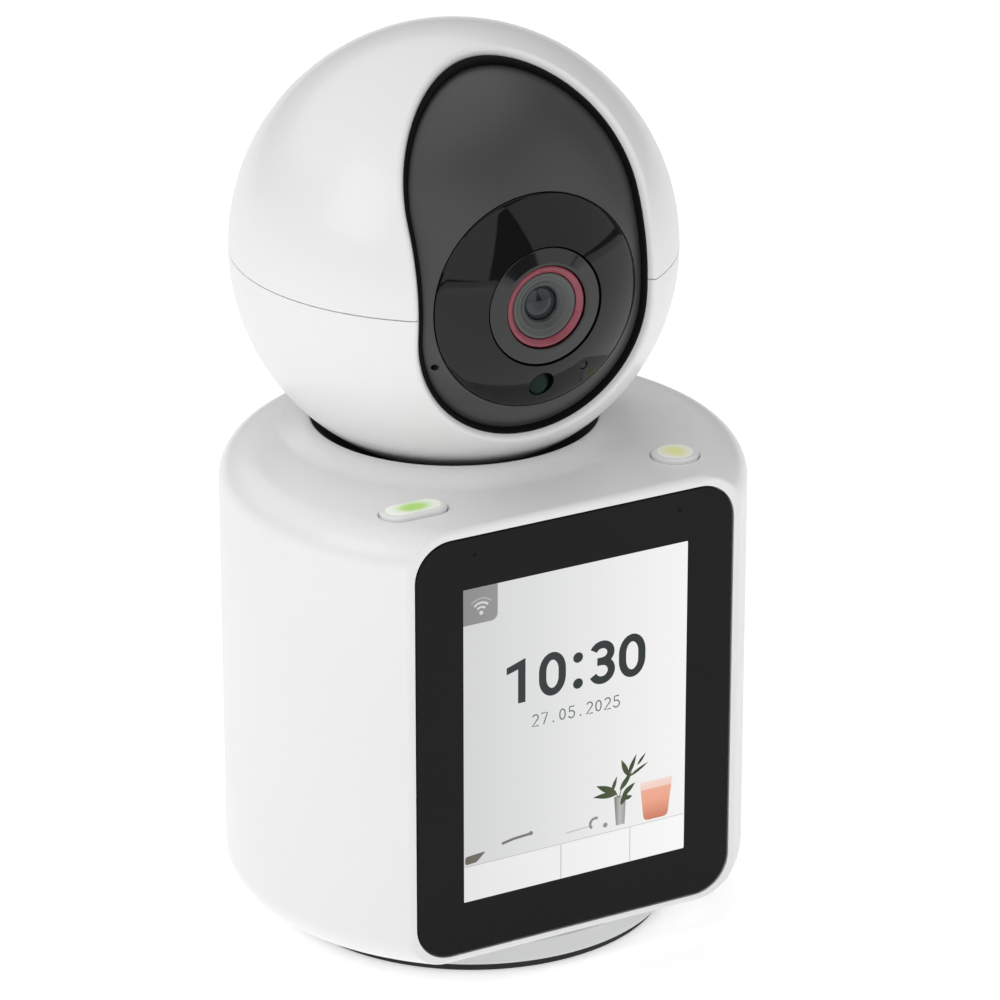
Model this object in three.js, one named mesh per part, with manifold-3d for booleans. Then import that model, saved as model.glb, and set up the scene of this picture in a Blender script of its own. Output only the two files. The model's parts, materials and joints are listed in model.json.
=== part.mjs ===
// A table-top smart display with a pan-and-tilt camera ball on top.
// Units are millimetres, +Z is up and the screen faces -Y. The origin is on the surface that the
// display stands on, under the middle of its box.

import * as THREE from 'three';
import { mergeVertices } from 'three/addons/utils/BufferGeometryUtils.js';
import Module from 'manifold-3d';

const wasm = await Module();
wasm.setup();

// ---------------------------------------------------------------- driving dimensions

const GAP = 0.3; // clearance between neighbouring pieces

const BODY_R = 45.26; // round back of the body
const BODY_Y = -8.11; // centre of that round
const FRONT_Y = -40.42; // flat front of the body
const BODY_TOP = 86;
const BODY_BOTTOM = 6.2;
const RIM_R = 6; // rounding of the top and bottom rims
const WALL = 2.2;

const GLASS = { w: 60.9, h: 76.27, zMid: 46, corner: 6.5, thick: 1.2 };
const PANEL = { w: 47, h: 63, zMid: 46, y: -38.9, thick: 2.4 };
const FRAME = { w: 53, h: 69, back: -34.8 };
const FRONT_WALL = 3.5; // behind the glass's edge

const AXIS_Y = 2.05; // pan axis
const BALL_Z = 118.64; // centre of the ball
const BALL_R = 38.37;
const SHELL = 1.77;
const HEAD_YAW = THREE.MathUtils.degToRad(-2.6);

const COLLAR = { r: 24.85, foot: 31, z: 88 };
const EYE_R = 35.9; // black ball that tilts inside the white one
const EYE_SIDE = 26.5; // its flat sides
const EYE_WALL = 1.6;
const SLOT = { half: 22, low: -3.65, high: 15.3 }; // stadium opening of the white ball
const WINDOW_R = 18.5;

const MODULE = 0.8; // of all the gear teeth
const PAN_TEETH = 36;
const TILT_TEETH = 24;
const PINION_TEETH = 12;
const PAN_CENTRES = (MODULE * (PAN_TEETH + PINION_TEETH)) / 2;
const TILT_CENTRES = (MODULE * (TILT_TEETH + PINION_TEETH)) / 2;

const HUB = { r: 7.5, bore: 5.5, bottom: 66 };
const SEAT = { inner: BALL_R + 1.5, outer: BALL_R + 3 }; // dish under the ball, as sphere radii
const BASE = { r: 35.5, y: -4, foot: 1.5, top: 8.4, plug: 25.5 };

// ---------------------------------------------------------------- finishes

function finish(color, roughness, metalness = 0) {
  return () => new THREE.MeshStandardMaterial({ color, roughness, metalness });
}

const whitePlastic = finish(0xf1f1f0, 0.35);
const greyPlastic = finish(0xc9cacb, 0.5);
const blackGloss = finish(0x17181a, 0.15);
const blackSatin = finish(0x2a2b2d, 0.4);
const rubber = finish(0x151515, 0.85);
const redPlastic = finish(0xc8283a, 0.3);
const greenPlastic = finish(0x9bd84c, 0.35);
const yellowPlastic = finish(0xe6e9a0, 0.35);
const opticGlass = finish(0x1c2430, 0.05);
const screenGlass = finish(0xe4e6e8, 0.2);
const circuitBoard = finish(0x1d5a38, 0.5);
const steel = finish(0xa9adb2, 0.3, 1);
const nylon = finish(0xe8e4d8, 0.5);

// ---------------------------------------------------------------- solids

function signedVolume(position, index) {
  const a = new THREE.Vector3();
  const b = new THREE.Vector3();
  const c = new THREE.Vector3();
  let sum = 0;
  for (let i = 0; i < index.length; i += 3) {
    a.fromArray(position, 3 * index[i]);
    b.fromArray(position, 3 * index[i + 1]);
    c.fromArray(position, 3 * index[i + 2]);
    sum += a.dot(b.cross(c));
  }
  return sum / 6;
}

// A closed geometry as a solid, with its faces turned outward.
function solid(geometry) {
  const bare = geometry.clone();
  bare.deleteAttribute('normal');
  bare.deleteAttribute('uv');
  const merged = mergeVertices(bare, 1e-4);
  const position = merged.attributes.position.array;
  const triangles = [];
  for (let i = 0; i < merged.index.count; i += 3) {
    const [a, b, c] = merged.index.array.slice(i, i + 3);
    if (a !== b && b !== c && c !== a) triangles.push(a, b, c);
  }
  if (signedVolume(position, triangles) < 0) triangles.reverse();
  return new wasm.Manifold(
    new wasm.Mesh({
      numProp: 3,
      vertProperties: Float32Array.from(position),
      triVerts: Uint32Array.from(triangles),
    }),
  );
}

function join(first, ...others) {
  return others.reduce((sum, next) => sum.add(next), first);
}

function cut(first, ...others) {
  return others.reduce((rest, next) => rest.subtract(next), first);
}

function piece(name, body, material) {
  const { vertProperties, triVerts } = body.getMesh();
  const geometry = new THREE.BufferGeometry();
  geometry.setAttribute('position', new THREE.BufferAttribute(vertProperties, 3));
  geometry.setIndex(new THREE.BufferAttribute(triVerts, 1));
  geometry.computeVertexNormals();
  const mesh = new THREE.Mesh(geometry, material());
  mesh.name = name;
  return mesh;
}

function box(x, y, z) {
  const geometry = new THREE.BoxGeometry(x[1] - x[0], y[1] - y[0], z[1] - z[0]);
  return solid(geometry.translate((x[0] + x[1]) / 2, (y[0] + y[1]) / 2, (z[0] + z[1]) / 2));
}

// Turns a geometry built along +Z to lie along another axis.
const along = {
  z: (geometry) => geometry,
  x: (geometry) => geometry.rotateY(Math.PI / 2),
  front: (geometry) => geometry.rotateX(Math.PI / 2),
};

// A profile of [radius, height] pairs turned about the chosen axis. It closes on itself unless both
// of its ends are on the axis.
function revolve(profile, segments, axis = 'z') {
  const points = profile.map(([r, h]) => new THREE.Vector2(r, h));
  const open = points[0].x === 0 && points.at(-1).x === 0;
  if (!open) points.push(points[0].clone());
  const geometry = new THREE.LatheGeometry(points, segments).rotateX(Math.PI / 2);
  return solid(along[axis](geometry));
}

function drum(radius, low, high, segments = 24, axis = 'z') {
  return revolve([[0, low], [radius, low], [radius, high], [0, high]], segments, axis);
}

function ring(inner, outer, low, high, segments = 32, axis = 'z') {
  return revolve([[inner, low], [outer, low], [outer, high], [inner, high]], segments, axis);
}

function extrude(shape, low, high, axis = 'z', curveSegments = 8) {
  const options = { depth: high - low, bevelEnabled: false, curveSegments };
  return solid(along[axis](new THREE.ExtrudeGeometry(shape, options).translate(0, 0, low)));
}

function at(x, y, z, body) {
  return body.translate([x, y, z]);
}

// ---------------------------------------------------------------- outlines

// Points on an arc from one angle to another, in degrees, both ends included.
function arc(cx, cy, r, from, to, steps) {
  return Array.from({ length: steps + 1 }, (_, i) => {
    const a = THREE.MathUtils.degToRad(from + ((to - from) * i) / steps);
    return [cx + r * Math.cos(a), cy + r * Math.sin(a)];
  });
}

function polygon(points) {
  return new THREE.Shape(points.map(([x, y]) => new THREE.Vector2(x, y)));
}

function roundedRect(w, h, r, cx = 0, cy = 0) {
  const x = w / 2 - r;
  const y = h / 2 - r;
  const steps = 4;
  return polygon([
    ...arc(cx + x, cy - y, r, -90, 0, steps),
    ...arc(cx + x, cy + y, r, 0, 90, steps),
    ...arc(cx - x, cy + y, r, 90, 180, steps),
    ...arc(cx - x, cy - y, r, 180, 270, steps),
  ]);
}

function stadium(length, width) {
  return roundedRect(length, width, width / 2);
}

// A spur gear's outline, with a tooth centred on +X. Each tooth narrows from root to tip.
function gearOutline(teeth, turn = 0) {
  const pitch = (MODULE * teeth) / 2;
  const step = (2 * Math.PI) / teeth;
  const corners = [
    [pitch - 1.2 * MODULE, -0.3],
    [pitch + 0.8 * MODULE, -0.12],
    [pitch + 0.8 * MODULE, 0.12],
    [pitch - 1.2 * MODULE, 0.3],
  ];
  const points = [];
  for (let tooth = 0; tooth < teeth; tooth += 1) {
    for (const [r, share] of corners) {
      const a = (tooth + share) * step + turn;
      points.push([r * Math.cos(a), r * Math.sin(a)]);
    }
  }
  return polygon(points);
}

// The stadium opening of the white ball in front view, drawn in from its edge by `inset`.
function slotOutline(inset = 0) {
  const r = SLOT.half - inset;
  return [...arc(0, SLOT.high, r, 0, 180, 10), ...arc(0, SLOT.low, r, 180, 360, 10)];
}

// A cone from the ball's centre through that outline on the ball's surface, to cut the opening
// square to the surface.
function slotCone(inset = 0) {
  const reach = 1.2;
  const rim = slotOutline(inset).map(([x, z]) => {
    const y = -Math.sqrt(Math.max(BALL_R ** 2 - x * x - z * z, 0));
    return new THREE.Vector3(x, y, z).multiplyScalar(reach);
  });
  const middle = (SLOT.low + SLOT.high) / 2;
  const crown = new THREE.Vector3(0, -1, middle / BALL_R).setLength(BALL_R * reach * reach);
  const corners = [];
  rim.forEach((point, i) => {
    const next = rim[(i + 1) % rim.length];
    corners.push(new THREE.Vector3(), point, next, crown, next, point);
  });
  return solid(new THREE.BufferGeometry().setFromPoints(corners));
}

// ---------------------------------------------------------------- the body

// The body's turned profile, drawn in from its outside by `inset`.
function bodyProfile(inset, top, bottom) {
  const r = BODY_R - inset;
  const round = RIM_R - inset;
  const steps = inset > 0 ? 1 : 3;
  return [
    [0, bottom],
    ...arc(r - round, bottom + round, round, -90, 0, steps),
    ...arc(r - round, top - round, round, 0, 90, steps),
    [0, top],
  ];
}

function bodyRound(inset, front, top, bottom) {
  const round = at(0, BODY_Y, 0, revolve(bodyProfile(inset, top, bottom), 44));
  return cut(round, box([-60, 60], [front - 60, front], [0, 100]));
}

// Rounds the front's long top edge: what is left of a square bar once its quarter round is kept.
function frontEdgeTrim(radius) {
  const outline = [
    ...arc(FRONT_Y + radius, BODY_TOP - radius, radius, 180, 90, 4),
    [FRONT_Y - 1, BODY_TOP],
    [FRONT_Y - 1, BODY_TOP - radius],
  ];
  const bar = extrude(polygon(outline), -60, 60);
  return bar.rotate([90, 0, 90]);
}

function collarRise() {
  const rise = COLLAR.z - BODY_TOP;
  const steps = 4;
  const sweep = Array.from({ length: steps + 1 }, (_, i) => {
    const share = i / steps;
    const eased = (1 - Math.cos(Math.PI * share)) / 2;
    return [COLLAR.foot - share * (COLLAR.foot - COLLAR.r - 0.6), BODY_TOP + rise * eased];
  });
  const low = BODY_TOP - WALL;
  return revolve([[COLLAR.r, low], [COLLAR.foot, low], ...sweep, [COLLAR.r, COLLAR.z]], 32);
}

const BUTTONS = {
  call_button: { x: -25.2, y: -29.85, outline: stadium(12, 6.2), hole: stadium(12.7, 6.9) },
  lamp_button: { x: 25.2, y: -29.85, outline: stadium(8.1, 8.1), hole: stadium(8.8, 8.8) },
};

const BUTTON_PROUD = 0.8;

const PORT = { z: 17.5, w: 9, h: 3.3, rear: 36.6, depth: 8.6, wall: 0.35 };
const RESET = { x: 13, z: 17.5, r: 1.3, rear: 36.3 };
const SPEAKER = { z: 34, r: 14, rear: 32 };
const BEHIND = { near: 30, far: 60 }; // from behind the body to just inside its back wall
const POSTS = [[-26, -22], [26, -22], [-22, 17], [22, 17]]; // base screws
const POST = { r: 3, bore: 1.2, top: 22 };

function mainHousing() {
  const outer = bodyRound(0, FRONT_Y, BODY_TOP, BODY_BOTTOM);
  const inner = bodyRound(WALL, FRONT_Y + FRONT_WALL, BODY_TOP - WALL, BODY_BOTTOM + WALL);
  const roof = at(0, AXIS_Y, 0, collarRise());
  const throat = at(0, AXIS_Y, 0, drum(COLLAR.r, BODY_TOP - 10, COLLAR.z + 1, 32));
  let shell = cut(join(cut(outer, frontEdgeTrim(1)), roof), inner, throat);

  const bezel = roundedRect(GLASS.w + 0.6, GLASS.h + 0.6, GLASS.corner + 0.3, 0, GLASS.zMid);
  const recess = extrude(bezel, -FRONT_Y - GLASS.thick - 0.2, -FRONT_Y + 1, 'front', 6);
  const window = roundedRect(FRAME.w + 0.8, FRAME.h + 0.8, 2, 0, PANEL.zMid);
  shell = cut(shell, recess, extrude(window, -FRONT_Y - 6, -FRONT_Y, 'front'));

  for (const { x, y, hole } of Object.values(BUTTONS)) {
    shell = cut(shell, at(x, y, 0, extrude(hole, BODY_TOP - 5, BODY_TOP + 4)));
  }

  const post = ring(POST.bore, POST.r, BODY_BOTTOM + 1, POST.top, 10);
  const posts = POSTS.map(([x, y]) => at(x, y, 0, post));
  const mouth = at(0, BASE.y, 0, drum(BASE.plug + GAP, BODY_BOTTOM - 1, BODY_BOTTOM + 3, 32));
  const screwWays = POSTS.map(([x, y]) => at(x, y, 0, drum(POST.bore, BODY_BOTTOM - 1, 12, 10)));
  shell = cut(join(cut(shell, mouth), ...posts), ...screwWays);

  const socketHole = stadium(PORT.w + 2 * GAP, PORT.h + 2 * GAP);
  const socket = extrude(socketHole, -BEHIND.far, -BEHIND.near, 'front');
  const resetWay = drum(RESET.r + 0.25, -BEHIND.far, -BEHIND.near, 12, 'front');
  return cut(shell, at(0, 0, PORT.z, socket), at(RESET.x, 0, RESET.z, resetWay), ...grilleHoles());
}

// Sound holes on a hexagonal grid in the back wall.
function grilleHoles() {
  const pitch = 4;
  const holeR = 1;
  const holes = [];
  for (let row = -2; row <= 2; row += 1) {
    const count = 5 - Math.abs(row);
    for (let i = 0; i < count; i += 1) {
      const x = (i - (count - 1) / 2) * pitch;
      const z = SPEAKER.z + row * pitch * Math.sin(Math.PI / 3);
      holes.push(at(x, 0, z, drum(holeR, -BEHIND.far, -BEHIND.near, 6, 'front')));
    }
  }
  return holes;
}

const SCREW = { under: 3.8, length: 8, shank: 0.9, head: 1.7, thick: 1.2 };

function baseCover() {
  const plate = drum(BASE.r, BASE.foot, BODY_BOTTOM - GAP, 36);
  const plug = drum(BASE.plug, BODY_BOTTOM - 1, BASE.top, 32);
  const body = at(0, BASE.y, 0, join(plate, plug));
  const ways = POSTS.map(([x, y]) => at(x, y, 0, screw(GAP, 4)));
  const groove = at(0, BASE.y, 0, ring(27.5, BASE.r - 0.9, 0, SCREW.under - 1.1, 36));
  return cut(body, groove, ...ways);
}

function footRing() {
  return at(0, BASE.y, 0, ring(27.8, BASE.r - 1.2, 0, 2.3, 36));
}

// A pan-head screw pointing up, or the way for one when it is made wider and longer.
function screw(wider = 0, longer = 0) {
  const { under, thick } = SCREW;
  const head = SCREW.head + wider;
  const shank = SCREW.shank + wider;
  const tip = under + SCREW.length + longer;
  const profile = [
    [0, under - thick],
    [head, under - thick],
    [head, under],
    [shank, under],
    [shank, tip],
    [0, tip],
  ];
  return revolve(profile, 8);
}

function coverGlass() {
  const outline = roundedRect(GLASS.w, GLASS.h, GLASS.corner, 0, GLASS.zMid);
  return extrude(outline, -FRONT_Y - GLASS.thick, -FRONT_Y, 'front', 6);
}

function displayPanel() {
  const outline = roundedRect(PANEL.w, PANEL.h, 0.8, 0, PANEL.zMid);
  return extrude(outline, -PANEL.y - PANEL.thick, -PANEL.y, 'front');
}

function displayFrame() {
  const tray = roundedRect(FRAME.w, FRAME.h, 1.6, 0, PANEL.zMid);
  const pocket = roundedRect(PANEL.w + 2 * GAP, PANEL.h + 2 * GAP, 1.1, 0, PANEL.zMid);
  return cut(
    extrude(tray, -FRAME.back, -PANEL.y, 'front'),
    extrude(pocket, -PANEL.y - PANEL.thick - GAP, -PANEL.y + 1, 'front'),
  );
}

const BOARD = { x: 25, z: [18, 74], y: [-31.5, -29.9] };

function mainBoard() {
  return box([-BOARD.x, BOARD.x], BOARD.y, BOARD.z);
}

function chip(x, z, w, h, thick) {
  return box([x - w / 2, x + w / 2], [BOARD.y[1] + 0.1, BOARD.y[1] + thick], [z - h / 2, z + h / 2]);
}

function portBoard() {
  return box([-16, 19], [26.4, 27.6], [10.5, 15]);
}

function usbPort() {
  const { w, h, rear, depth, wall } = PORT;
  const shell = extrude(stadium(w, h), -rear, depth - rear, 'front');
  const mouth = extrude(stadium(w - 2 * wall, h - 2 * wall), -rear - 1, depth - 2 - rear, 'front');
  const tongue = box([-3.3, 3.3], [rear - depth + 1, rear - 0.8], [-0.35, 0.35]);
  return at(0, 0, PORT.z, join(cut(shell, mouth), tongue));
}

// A small loudspeaker: a cone within a rim, and a magnet in front of it.
function speaker() {
  const { r, rear } = SPEAKER;
  const profile = [
    [0, 4.8 - rear],
    [8, 4.8 - rear],
    [r, 2.6 - rear],
    [r, 0.4 - rear],
    [r - 1.5, 0.4 - rear],
    [r - 3.5, 2.2 - rear],
    [2, 0.6 - rear],
    [0, -rear],
  ];
  return at(0, 0, SPEAKER.z, revolve(profile, 24, 'front'));
}

// A cap with a stem that reaches down to its switch.
function button({ x, y, outline }) {
  const cap = extrude(outline, BODY_TOP - 4, BODY_TOP + BUTTON_PROUD);
  const stem = drum(1.2, BODY_TOP - 6, BODY_TOP - 3.5, 12);
  return at(x, y, 0, join(cap, stem));
}

function resetButton() {
  const cap = drum(RESET.r, -RESET.rear, 7.3 - RESET.rear, 10, 'front');
  return at(RESET.x, 0, RESET.z, cap);
}

const BUTTON_BOARD = { top: 78, thick: 1.2 };

function buttonSwitch({ x, y }) {
  const low = BUTTON_BOARD.top + 0.05;
  const base = box([x - 3, x + 3], [y - 3, y + 3], [low, low + 0.95]);
  return join(base, at(x, y, 0, drum(1.6, low + 0.85, low + 1.15, 12)));
}

function buttonBoard() {
  return box([-30, 30], [-33.8, -26], [BUTTON_BOARD.top - BUTTON_BOARD.thick, BUTTON_BOARD.top]);
}

// ---------------------------------------------------------------- the pan drive

// The height of a ball-centred sphere at a radius from the pan axis, on its underside.
function underside(sphere, r) {
  return BALL_Z - Math.sqrt(sphere ** 2 - r ** 2);
}

function undersideArc(sphere, from, to, steps) {
  return Array.from({ length: steps + 1 }, (_, i) => {
    const r = from + ((to - from) * i) / steps;
    return [r, underside(sphere, r)];
  });
}

const BEARING = { bore: HUB.r + 0.08, r: 11, low: 73.4, high: 77.4 };

// The dark dish that the ball turns in, with the bearing's cup in its middle.
function ballSeat() {
  const cup = BEARING.r + 0.1;
  const flangeTop = BODY_TOP - WALL - GAP;
  const profile = [
    [cup, BEARING.low - 0.1],
    [HUB.r + 1.7, BEARING.low - 0.1],
    [HUB.r + 1.7, BEARING.low - 1.4],
    [cup + 1.4, BEARING.low - 1.4],
    ...undersideArc(SEAT.outer, cup + 1.4, 19.2, 2),
    [29, flangeTop - 1.6],
    [29, flangeTop],
    [COLLAR.r - GAP, flangeTop],
    ...undersideArc(SEAT.inner, COLLAR.r - GAP, cup, 4),
  ];
  return at(0, AXIS_Y, 0, revolve(profile, 32));
}

function panBearing() {
  return at(0, AXIS_Y, 0, ring(BEARING.bore, BEARING.r, BEARING.low, BEARING.high, 32));
}

const PAN_GEAR = { low: 66.6, high: 70.4 };

function panGear() {
  const wheel = extrude(gearOutline(PAN_TEETH), PAN_GEAR.low, PAN_GEAR.high);
  const bore = drum(HUB.r + 0.08, PAN_GEAR.low - 1, PAN_GEAR.high + 1, 32);
  return at(0, AXIS_Y, 0, cut(wheel, bore));
}

// A hexagon nut under the gear holds the ball down.
function hubNut() {
  const low = 64.4;
  const high = PAN_GEAR.low - GAP;
  const nut = extrude(polygon(arc(0, 0, 11, 0, 300, 5)), low, high);
  return at(0, AXIS_Y, 0, cut(nut, drum(HUB.r + 0.08, low - 1, high + 1, 32)));
}

const PINION_Y = AXIS_Y + PAN_CENTRES;
const PLATE = { low: 61.4, high: 62.9 };

function panPinion() {
  const half = Math.PI / PINION_TEETH;
  const wheel = extrude(gearOutline(PINION_TEETH, half), PAN_GEAR.low, PAN_GEAR.high);
  const shaft = drum(1.5, PLATE.low - 0.2, PAN_GEAR.high, 16);
  return at(0, PINION_Y, 0, join(wheel, shaft));
}

// A tin-can stepper motor: the output shaft stands off its middle.
function panMotor() {
  const middle = PINION_Y - 7;
  const can = at(0, middle, 0, drum(12, 42, PLATE.low - GAP - 0.6, 32));
  const plug = box([-7, 7], [middle - 15, middle - 10], [44, 58]);
  return join(can, plug);
}

function motorBracket() {
  const posts = [[-21, AXIS_Y], [21, AXIS_Y], [0, AXIS_Y - 21]];
  const web = polygon([
    [-24, AXIS_Y - 2],
    [-4, -22.5],
    [4, -22.5],
    [24, AXIS_Y - 2],
    [24, 9],
    [10, 28],
    [-10, 28],
    [-24, 9],
  ]);
  const plate = extrude(web, PLATE.low, PLATE.high);
  const columns = posts.map(([x, y]) => at(x, y, 0, drum(2.5, PLATE.low, 81.2, 10)));
  return cut(
    join(plate, ...columns),
    at(0, AXIS_Y, 0, drum(9, 50, 65, 32)),
    at(0, PINION_Y, 0, drum(2, 50, 65, 16)),
  );
}

// ---------------------------------------------------------------- the white ball

function ballArc(radius, from, to, steps) {
  return arc(0, 0, radius, from, to, steps);
}

const SEAM = 0.15; // half of the fine line between the two shells
const HEAD_SEGMENTS = 32;

function seamAngle(radius) {
  return THREE.MathUtils.radToDeg(Math.asin(SEAM / radius));
}

function upperShell() {
  const inner = BALL_R - SHELL;
  const dome = revolve(
    [
      [0, BALL_R],
      ...ballArc(BALL_R, 80, seamAngle(BALL_R), 7),
      ...ballArc(inner, seamAngle(inner), 80, 6),
      [0, inner],
    ],
    HEAD_SEGMENTS,
  );
  return cut(dome, slotCone());
}

function lowerShell() {
  const inner = BALL_R - SHELL;
  const stub = HUB.bottom - BALL_Z;
  const lip = THREE.MathUtils.radToDeg(Math.acos(HUB.r / BALL_R));
  const bore = THREE.MathUtils.radToDeg(Math.acos(HUB.bore / inner));
  const bowl = revolve(
    [
      [HUB.bore, stub],
      [HUB.r, stub],
      ...ballArc(BALL_R, -lip, -seamAngle(BALL_R), 7),
      ...ballArc(inner, -seamAngle(inner), -bore, 6),
    ],
    HEAD_SEGMENTS,
  );
  return cut(bowl, slotCone());
}

function ball(radius) {
  return revolve([[0, -radius], ...ballArc(radius, -80, 80, 14), [0, radius]], HEAD_SEGMENTS);
}

const LINER = { outer: 37.9, inner: 36.6, width: 0.8 };

// The black lining of the opening's edge.
function slotLiner() {
  const band = cut(ball(LINER.outer), ball(LINER.inner)).intersect(slotCone(GAP));
  return cut(band, slotCone(GAP + LINER.width));
}

const PIVOT = { r: 2.5, flange: 6, inner: 24, outer: 35.6 };
const TILT_GEAR = { low: 27.3, high: 29.6 };

function pivotPin() {
  const shoulder = TILT_GEAR.high;
  const pin = drum(PIVOT.r, PIVOT.inner, shoulder, 24, 'x');
  return join(pin, drum(PIVOT.flange, shoulder, PIVOT.outer, 24, 'x'));
}

// The gear is fixed to the pivot pin, and the ball's own pinion climbs round it.
function fixedTiltGear() {
  const wheel = extrude(gearOutline(TILT_TEETH), TILT_GEAR.low, TILT_GEAR.high, 'x');
  return join(pivotPin(), wheel);
}

// ---------------------------------------------------------------- the tilting camera

const REAR_CUT = { from: 99, to: 255 }; // the black ball is open behind, between these elevations

function cameraBall() {
  const shellR = EYE_R - EYE_WALL;
  const side = EYE_SIDE - EYE_WALL;
  const outerEdge = THREE.MathUtils.radToDeg(Math.asin(EYE_SIDE / EYE_R));
  const innerEdge = THREE.MathUtils.radToDeg(Math.asin(side / shellR));
  const hub = PIVOT.r + 0.1;
  const profile = [
    [hub, EYE_SIDE],
    ...arc(0, 0, EYE_R, outerEdge, -outerEdge, 8),
    [hub, -EYE_SIDE],
    [hub, -side],
    ...arc(0, 0, shellR, -innerEdge, innerEdge, 5),
    [hub, side],
  ];
  const shell = revolve(profile, 32, 'x');
  const reach = 60;
  const corner = (degrees) => {
    const a = THREE.MathUtils.degToRad(degrees);
    return [-reach * Math.cos(a), reach * Math.sin(a)];
  };
  const middle = (REAR_CUT.from + REAR_CUT.to) / 2;
  const wedge = polygon([[0, 0], corner(REAR_CUT.from), corner(middle), corner(REAR_CUT.to)]);
  const rear = extrude(wedge, 0, 2 * (side - 0.8)).rotate([90, 0, 90]).translate([0.8 - side, 0, 0]);
  const lensWay = drum(WINDOW_R + GAP, 20, 40, 28, 'front');
  const pinionWay = at(0, TILT_CENTRES, 0, drum(1.9, 20, 30, 16, 'x'));
  const micWay = at(-20.5, 0, -9.3, drum(0.5, 20, 40, 8, 'front'));
  return cut(shell, rear, lensWay, pinionWay, micWay);
}

const LENS = { hole: 10.5, hood: 10.2, ring: 7.1, barrel: 5.7, glass: 2.8 };
const SENSOR = { x: 0, z: -14.2, r: 2.2 };
const LED = { x: 8, z: -12.3, r: 0.7 };

function capHeight(radius, r) {
  return Math.sqrt(radius ** 2 - r ** 2);
}

function capArc(radius, from, to, steps) {
  return Array.from({ length: steps + 1 }, (_, i) => {
    const r = from + ((to - from) * i) / steps;
    return [r, capHeight(radius, r)];
  });
}

function lensWindow() {
  const outer = EYE_R + 0.15;
  const profile = [
    ...capArc(EYE_R - 1.4, LENS.hole, WINDOW_R - 0.2, 3),
    ...capArc(outer, WINDOW_R, LENS.hole, 3),
  ];
  const cap = revolve(profile, 28, 'front');
  const eye = at(SENSOR.x, 0, SENSOR.z, drum(SENSOR.r + GAP, 20, 40, 16, 'front'));
  const lamp = at(LED.x, 0, LED.z, drum(LED.r + GAP, 20, 40, 12, 'front'));
  return cut(cap, eye, lamp);
}

function lightSensor() {
  const front = capHeight(EYE_R, Math.abs(SENSOR.z)) - 0.1;
  const profile = [[0, 30.2], [SENSOR.r, 30.2], [SENSOR.r, front - 0.6], [1.4, front - 0.2], [0, front]];
  return at(SENSOR.x, 0, SENSOR.z, revolve(profile, 16, 'front'));
}

function statusLed() {
  return at(LED.x, 0, LED.z, drum(LED.r, 30.2, 33.2, 12, 'front'));
}

function lensHood() {
  const profile = [
    [LENS.ring + GAP, 28],
    [LENS.hood, 28],
    [LENS.hood, 34.3],
    [LENS.hood - 0.6, 34.9],
    [LENS.ring + GAP, 34.5],
  ];
  return revolve(profile, 28, 'front');
}

function lensRing() {
  const inner = LENS.barrel + GAP;
  return revolve([[inner, 31], [LENS.ring, 31], [LENS.ring, 34.4], [inner, 34]], 28, 'front');
}

function lensBarrel() {
  const bore = LENS.glass + GAP;
  return revolve(
    [[bore, 19], [LENS.barrel, 19], [LENS.barrel, 34], [5.2, 34], [bore, 31.8]],
    24,
    'front',
  );
}

function lensGlass() {
  const dome = [[LENS.glass, 30.6], [2.4, 31.2], [1.5, 31.7], [0, 32]];
  return revolve([[0, 28.4], [LENS.glass, 28.4], ...dome], 24, 'front');
}

function sensorBoard() {
  const board = box([-13, 13], [-18.7, -17.5], [-13, 13]);
  return join(board, box([-4, 4], [-17.6, -16.4], [-4, 4]));
}

// A carrier that holds the lens and the lamps in the ball's mouth.
function cameraBracket() {
  const disc = drum(20.2, 25, 26.6, 28, 'front');
  const way = drum(LENS.barrel + GAP, 20, 30, 24, 'front');
  const legs = [-1, 1].map((side) => box([side * 15 - 1.5, side * 15 + 1.5], [-25.2, -12], [-6, 6]));
  return cut(join(disc, ...legs), way);
}

function irBoard() {
  const board = ring(10.8, 16.4, 27, 28, 24, 'front');
  const lamps = [30, 90, 150, 210, 330].map((degrees) => {
    const a = THREE.MathUtils.degToRad(degrees);
    return at(13.6 * Math.cos(a), 0, 13.6 * Math.sin(a), drum(1.5, 27.9, 30, 8, 'front'));
  });
  return join(board, ...lamps);
}

const TILT_MOTOR = { y: 9.4, r: 9.5, front: 23.4, back: 6.5 };

function tiltMotor() {
  const can = drum(TILT_MOTOR.r, TILT_MOTOR.back, TILT_MOTOR.front, 32, 'x');
  return at(0, TILT_MOTOR.y, 0, can);
}

function tiltPinion() {
  const half = Math.PI / PINION_TEETH;
  const wheel = extrude(gearOutline(PINION_TEETH, half), TILT_GEAR.low, TILT_GEAR.high, 'x');
  return at(0, TILT_CENTRES, 0, join(wheel, drum(1.5, 23.7, TILT_GEAR.high, 16, 'x')));
}

// ---------------------------------------------------------------- assembly

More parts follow.
